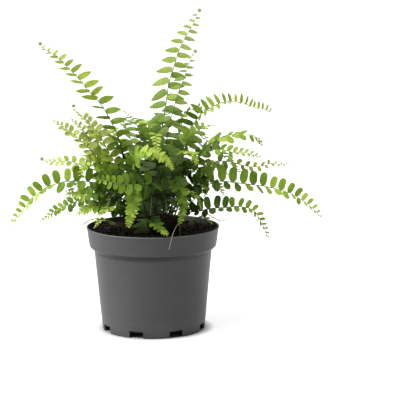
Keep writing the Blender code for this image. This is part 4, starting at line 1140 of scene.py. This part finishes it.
def mesh_from(name, bm):
    made = bpy.data.meshes.new(name)
    bm.to_mesh(made)
    bm.free()
    return made


def outer_radius(height):
    share = height / (POT_HEIGHT - COLLAR_HEIGHT - SHOULDER_DROP)
    return FOOT_RADIUS + (SHOULDER_RADIUS - FOOT_RADIUS) * share


def arc(centre, radius, start, end, steps):
    """Points of an arc in the pot's profile, angles from the outward direction."""
    angles = [math.radians(start + (end - start) * i / steps) for i in range(steps + 1)]
    return [(centre[0] + radius * math.cos(a), centre[1] + radius * math.sin(a)) for a in angles]


def pot_profile():
    """The pot's profile from the middle of its floor up the inside and down the outside."""
    floor = FLOOR_RISE + FLOOR_THICKNESS
    shoulder = POT_HEIGHT - COLLAR_HEIGHT - SHOULDER_DROP
    inside = [
        (0, FLOOR_THICKNESS),
        (DISC_RADIUS - FLOOR_THICKNESS, FLOOR_THICKNESS),
        (DISC_RADIUS + DISC_SLOPE - FLOOR_THICKNESS, floor),
        (outer_radius(floor) - WALL - FLOOR_CORNER, floor),
        (outer_radius(floor + FLOOR_CORNER) - WALL, floor + FLOOR_CORNER),
        (SHOULDER_RADIUS - WALL, shoulder + 0.45),
        (COLLAR_FOOT_RADIUS - WALL - 0.8, shoulder + SHOULDER_DROP - 0.1),
        (COLLAR_FOOT_RADIUS - WALL, shoulder + SHOULDER_DROP + 1.0),
        (RIM_RADIUS - 0.4 - WALL, POT_HEIGHT - 1.2),
    ]
    lip = arc((RIM_RADIUS - LIP_RADIUS, POT_HEIGHT - LIP_RADIUS), LIP_RADIUS, 170, -30, 8)
    collar = [
        (RIM_RADIUS - 0.4, POT_HEIGHT - 1.9),
        (RIM_RADIUS - 0.95, POT_HEIGHT - 5.0),
        (COLLAR_FOOT_RADIUS + 0.75, POT_HEIGHT - COLLAR_HEIGHT + 4.0),
    ]
    corner = arc((COLLAR_FOOT_RADIUS - 0.9, POT_HEIGHT - COLLAR_HEIGHT + 1.0), 1.1, 10, -55, 5)
    step = [
        (SHOULDER_RADIUS + 1.3, shoulder + 1.0),
        (SHOULDER_RADIUS + 0.35, shoulder + 0.1),
        (SHOULDER_RADIUS - 0.1, shoulder - 1.2),
        (outer_radius(40), 40),
        (outer_radius(12), 12),
    ]
    foot = arc((FOOT_RADIUS - 0.65, 0.6), 0.6, 0, -90, 4)
    under = [
        (FOOT_RADIUS - FOOT_WALL + 0.2, 0),
        (FOOT_RADIUS - FOOT_WALL, 0.3),
        (FOOT_RADIUS - FOOT_WALL, FLOOR_RISE),
        (DISC_RADIUS + DISC_SLOPE, FLOOR_RISE),
        (DISC_RADIUS + 0.2, 0.3),
        (DISC_RADIUS - 0.3, 0),
        (0, 0),
    ]
    return inside + lip + collar + corner + step + foot + under


def make_pot():
    """The pot: its profile turned round, less the drain slots."""
    profile = [Vector((radius * MM, 0, height * MM)) for radius, height in pot_profile()]
    outline = bpy.data.meshes.new("pot_profile")
    outline.from_pydata(profile, [(i, i + 1) for i in range(len(profile) - 1)], [])
    pot = add_object("pot_profile", outline)
    screw = pot.modifiers.new("Screw", "SCREW")
    screw.steps = screw.render_steps = POT_SEGMENTS
    screw.use_merge_vertices = True
    screw.merge_threshold = 0.00003
    boolean = pot.modifiers.new("Holes", "BOOLEAN")
    boolean.operation = "DIFFERENCE"
    boolean.object = add_object("slots", slot_cutters())
    mesh = bpy.data.meshes.new_from_object(pot.evaluated_get(bpy.context.evaluated_depsgraph_get()))
    bpy.data.objects.remove(boolean.object)
    bpy.data.objects.remove(pot)
    mesh.name = "nursery_pot"
    mesh.materials.clear()
    mesh.materials.append(pot_material())
    mesh.shade_smooth()
    mesh.set_sharp_from_angle(angle=math.radians(POT_SHARP_FOLD))
    add_piece(mesh, "pot", "pot")


def slot_cutters():
    bm = bmesh.new()
    outer, inner = FOOT_RADIUS + 3, FOOT_RADIUS - SLOT_REACH
    scale = Matrix.Diagonal((outer - inner, SLOT_WIDTH, SLOT_HEIGHT + 3, 1))
    place = Matrix.Translation(((outer + inner) / 2, 0, -3))
    lift = Matrix.Translation((0, 0, (SLOT_HEIGHT + 3) / 2))
    for step in range(SLOT_COUNT):
        turn = Matrix.Rotation(math.radians(SLOT_TURN + 360 * step / SLOT_COUNT), 4, "Z")
        bmesh.ops.create_cube(bm, size=1, matrix=Matrix.Scale(MM, 4) @ turn @ place @ lift @ scale)
    return mesh_from("slots", bm)


def soil_height(x, y):
    """The soil's surface: the CAD source's lumps with crumbs on them."""
    edge = held_between((SOIL_EDGE - math.hypot(x, y)) / 4, 0.0, 1.0)
    crumbs = noise.noise(Vector((x, y, 3.0)) * 0.45) + 0.6 * noise.noise(Vector((x, y, 9.0)) * 1.1)
    return SOIL_TOP + edge * (SOIL_LUMP * lump(x, y) + 0.9 * crumbs) - 0.3


def make_soil(rng):
    """The soil as a closed body with a crumbly top, and loose crumbs and bark bits lying on it."""
    angles = [math.tau * step / SOIL_SEGMENTS for step in range(SOIL_SEGMENTS)]
    points = [(0.0, 0.0, soil_height(0, 0))]
    for ring in range(1, SOIL_RINGS + 1):
        for angle in angles:
            x, y = around(SOIL_RADIUS * ring / SOIL_RINGS, angle)
            points.append((x, y, soil_height(x, y)))
    points += [around(radius, angle, height) for radius, height in SOIL_SIDE for angle in angles]
    points.append((0, 0, SOIL_SIDE[-1][1]))
    count = SOIL_SEGMENTS
    pairs = [(step, (step + 1) % count) for step in range(count)]
    last = 1 + (SOIL_RINGS + len(SOIL_SIDE) - 1) * count
    faces = [(0, 1 + s, 1 + n) for s, n in pairs]
    faces += [(a + s, a + count + s, a + count + n, a + n) for a in range(1, last, count) for s, n in pairs]
    faces += [(last + s, len(points) - 1, last + n) for s, n in pairs]
    mesh = bpy.data.meshes.new("soil_bed")
    mesh.from_pydata([(x * MM, y * MM, z * MM) for x, y, z in points], [], faces)
    add_smooth_piece(mesh, soil_material(), "soil", "soil")
    make_crumbs(rng)


def add_crumb(bm, centre, size, rng):
    """A rough lump of soil or bark."""
    stretch = Vector((rng.uniform(0.6, 1.5), rng.uniform(0.6, 1.3), rng.uniform(0.4, 0.9))) * size
    turn = Matrix.Rotation(rng.uniform(0, math.tau), 4, "Z") @ Matrix.Rotation(rng.uniform(-0.5, 0.5), 4, "X")
    place = Matrix.Translation(centre) @ turn @ Matrix.Diagonal((*stretch, 1))
    made = bmesh.ops.create_icosphere(bm, subdivisions=2, radius=0.5, matrix=place)
    for vert in made["verts"]:
        shift = noise.noise(vert.co * 1.3) * 0.35 + noise.noise(vert.co * 3.1) * 0.12
        vert.co += (vert.co - Vector(centre)) * shift


def make_crumbs(rng):
    bm = bmesh.new()
    for _ in range(CRUMB_COUNT):
        angle = rng.uniform(0, math.tau)
        radius = math.sqrt(rng.uniform(CRUMBS_FROM**2, CRUMBS_TO**2))
        x, y = around(radius, angle)
        size = rng.choice(CRUMB_SIZES) * rng.uniform(0.8, 1.2)
        if radius + size <= CRUMB_LIMIT:
            add_crumb(bm, Vector((x, y, soil_height(x, y) + 0.15 * size)), size, rng)
    bmesh.ops.scale(bm, vec=(MM, MM, MM), verts=bm.verts)
    add_smooth_piece(mesh_from("soil_crumbs", bm), soil_material(), "soil")


def make_crown(rng, scales):
    """The crown: a rough mound covered in papery scales."""
    bm = bmesh.new()
    bmesh.ops.create_icosphere(bm, subdivisions=5, radius=1)
    for vert in bm.verts:
        direction = vert.co.normalized()
        x, y = direction.x * CROWN_RADIUS, direction.y * CROWN_RADIUS
        vert.co = (x, y, CROWN_SHOULDER + direction.z * (CROWN_RISE if direction.z > 0 else CROWN_DEPTH))
        rough = noise.noise(vert.co * 0.25) * 0.9 + noise.noise(vert.co * 0.8) * 0.55 - 0.5
        vert.co += Vector((direction.x, direction.y, max(direction.z, 0))) * rough
        vert.co *= MM
    add_smooth_piece(mesh_from("crown_mound", bm), crown_material(), "crown", "crown")
    shape = Shape()
    for _ in range(CROWN_SCALES):
        angle = rng.uniform(0, math.tau)
        radius = CROWN_RADIUS * math.sqrt(rng.uniform(0.0, 0.98))
        root = Vector(around(radius, angle, crown_height(radius) - 0.9))
        out = (root - FAN_POINT).normalized()
        lean = Vector((rng.uniform(-1, 1), rng.uniform(-1, 1), rng.uniform(0, 1))) * 0.7
        along = (out + lean).normalized()
        side = along.cross(UP).normalized() if abs(along.z) < 0.98 else Vector((1, 0, 0))
        front = along.cross(side)
        length = rng.uniform(*CROWN_SCALE_LENGTHS)
        half = rng.uniform(*CROWN_SCALE_HALF_WIDTHS)
        tip = root + along * length + front * rng.uniform(-0.8, 0.8)
        corners = [root - side * half, root + side * half, root + front * 0.2, tip]
        add_scale(shape, corners, 0, (0.5, 0.5), rng.random(), 0.0)
    add_piece(shape.mesh("crown_scales", [scales]), "crown")


def make_runner():
    shape = Shape()
    line = even_steps(spline([Vector(point) for point in RUNNER_PATH], UP), RUNNER_STATION)
    radii = [RUNNER_RADIUS - RUNNER_THINNING * i / len(line) for i in range(len(line))]
    add_tube(shape, line, radii, RUNNER_SIDES, 0, 0.5, (0.02, 0.02, 0.98, 0.98))
    add_piece(shape.mesh("fuzzy_runner", [stalk_material("runner_skin", RUNNER_SKIN)]), "runner", "runner")


def make_fronds():
    """Dresses every frond, and gives back the scales' material, which the crown wears too."""
    fronds = [*PLACED_FRONDS, *filler_fronds()]
    lines = [frond_line(frond, seat) for frond, seat in zip(fronds, take_seats(fronds))]
    part_lines(lines)
    ribs = [Rib(frond, line) for frond, line in zip(fronds, lines)]
    guides = [rib_guide(rib) for rib in ribs]
    slots = {part["node"]: part["material_slot"] for part in frame["record"]["subparts"]}
    leaves = {name: leaf_material(name, shift) for name, shift in LEAF_SHIFTS.items()}
    leaves["leaf_dry"] = dry_material()
    stalks = {True: stalk_material("stalk_dry", DRY_STALK), False: stalk_material("stalk_green", GREEN_STALK)}
    scales = scale_material()
    grown = Obstacles()
    for name in ("pot", "soil", "crown", "runner"):
        mesh = frame["nodes"][name].data
        corners = [vertex.co / MM for vertex in mesh.vertices]
        grown.add(corners, [tuple(face.vertices) for face in mesh.polygons])
    for index, (frond, rib) in enumerate(zip(fronds, ribs)):
        others = Obstacles()
        others.add(grown.points, grown.faces)
        for guide in guides[:index] + guides[index + 1 :]:
            others.add(*guide)
        leaflets = grow_leaflets(rib, frond, SEED + index, others)
        for leaflet in leaflets:
            grown.add(*leaflet.surface())
        node = f"frond_{index + 1:02d}"
        shape = frond_shape(rib, frond, leaflets, random.Random(SEED + 500 + index))
        mesh = shape.mesh("leafy_" + node, [leaves[slots[node]], stalks[frond.tint < 0], scales])
        add_piece(mesh, slots[node], node)
    return scales


# Room


def make_camera():
    data = bpy.data.cameras.new("camera")
    data.lens = LENS
    data.sensor_width = 36
    data.clip_start = 0.05
    data.clip_end = 50
    camera = add_object("camera", data)
    look = Matrix.Rotation(math.radians(90 - CAMERA_DIP), 4, "X")
    look = look @ Matrix.Rotation(math.radians(CAMERA_TILT), 4, "Z")
    camera.matrix_world = Matrix.Translation(CAMERA_PLACE) @ look
    bpy.context.scene.camera = camera


def make_floor():
    """A pale floor that glows a little outside the pot's foot, as bright as the studio's background."""
    mesh = bpy.data.meshes.new("floor")
    corners = [(x * FLOOR_REACH, y * FLOOR_REACH, 0) for x, y in ((-1, -1), (1, -1), (1, 1), (-1, 1))]
    mesh.from_pydata(corners, [], [(0, 1, 2, 3)])
    made, tree, shader, where = new_material("pale_floor")
    coat(shader, ramp(textured(where, 4, 2), FLOOR_STOPS), 0.9, 0.1)
    away = add_node(tree, "ShaderNodeVectorMath", {0: where}, operation="LENGTH").outputs["Value"]
    glow = mapped(away, *GLOW_RING, 0.0, FLOOR_GLOW)
    feed(shader, {"Emission Color": (1, 1, 1, 1), "Emission Strength": glow})
    mesh.materials.append(made)
    add_object("floor", mesh)


def add_light(name, kind, place, target, power, **settings):
    data = bpy.data.lights.new(name, kind)
    data.energy = power
    for key, value in settings.items():
        setattr(data, key, value)
    light = add_object(name, data)
    light.location = place
    light.rotation_mode = "QUATERNION"
    light.rotation_quaternion = (Vector(target) - Vector(place)).to_track_quat("-Z", "Y")


def make_light():
    world = bpy.data.worlds.new("studio")
    world.use_nodes = True
    feed(world.node_tree.nodes["Background"], {"Color": (1, 1, 1, 1), "Strength": WORLD_STRENGTH})
    bpy.context.scene.world = world
    add_light("sky_panel", "SUN", (-0.8, -0.55, 1.5), (0, 0, 0), 4.1, angle=math.radians(36))
    add_light("roof_panel", "SUN", (0.1, 0.2, 1.0), (0, 0, 0), 1.4, angle=math.radians(60))
    add_light("side", "AREA", (-1.5, -0.4, 0.4), (0, 0, 0.08), 26, shape="DISK", size=1.4)
    add_light("back", "AREA", (-0.5, 1.6, 1.5), (0, 0, 0.15), 16, shape="DISK", size=1.2)
    bpy.context.scene.view_settings.view_transform = "Standard"


def main():
    make_camera()
    make_floor()
    make_light()
    make_pot()
    make_soil(random.Random(SEED + 1))
    scales = make_fronds()
    make_crown(random.Random(SEED + 2), scales)
    make_runner()


main()
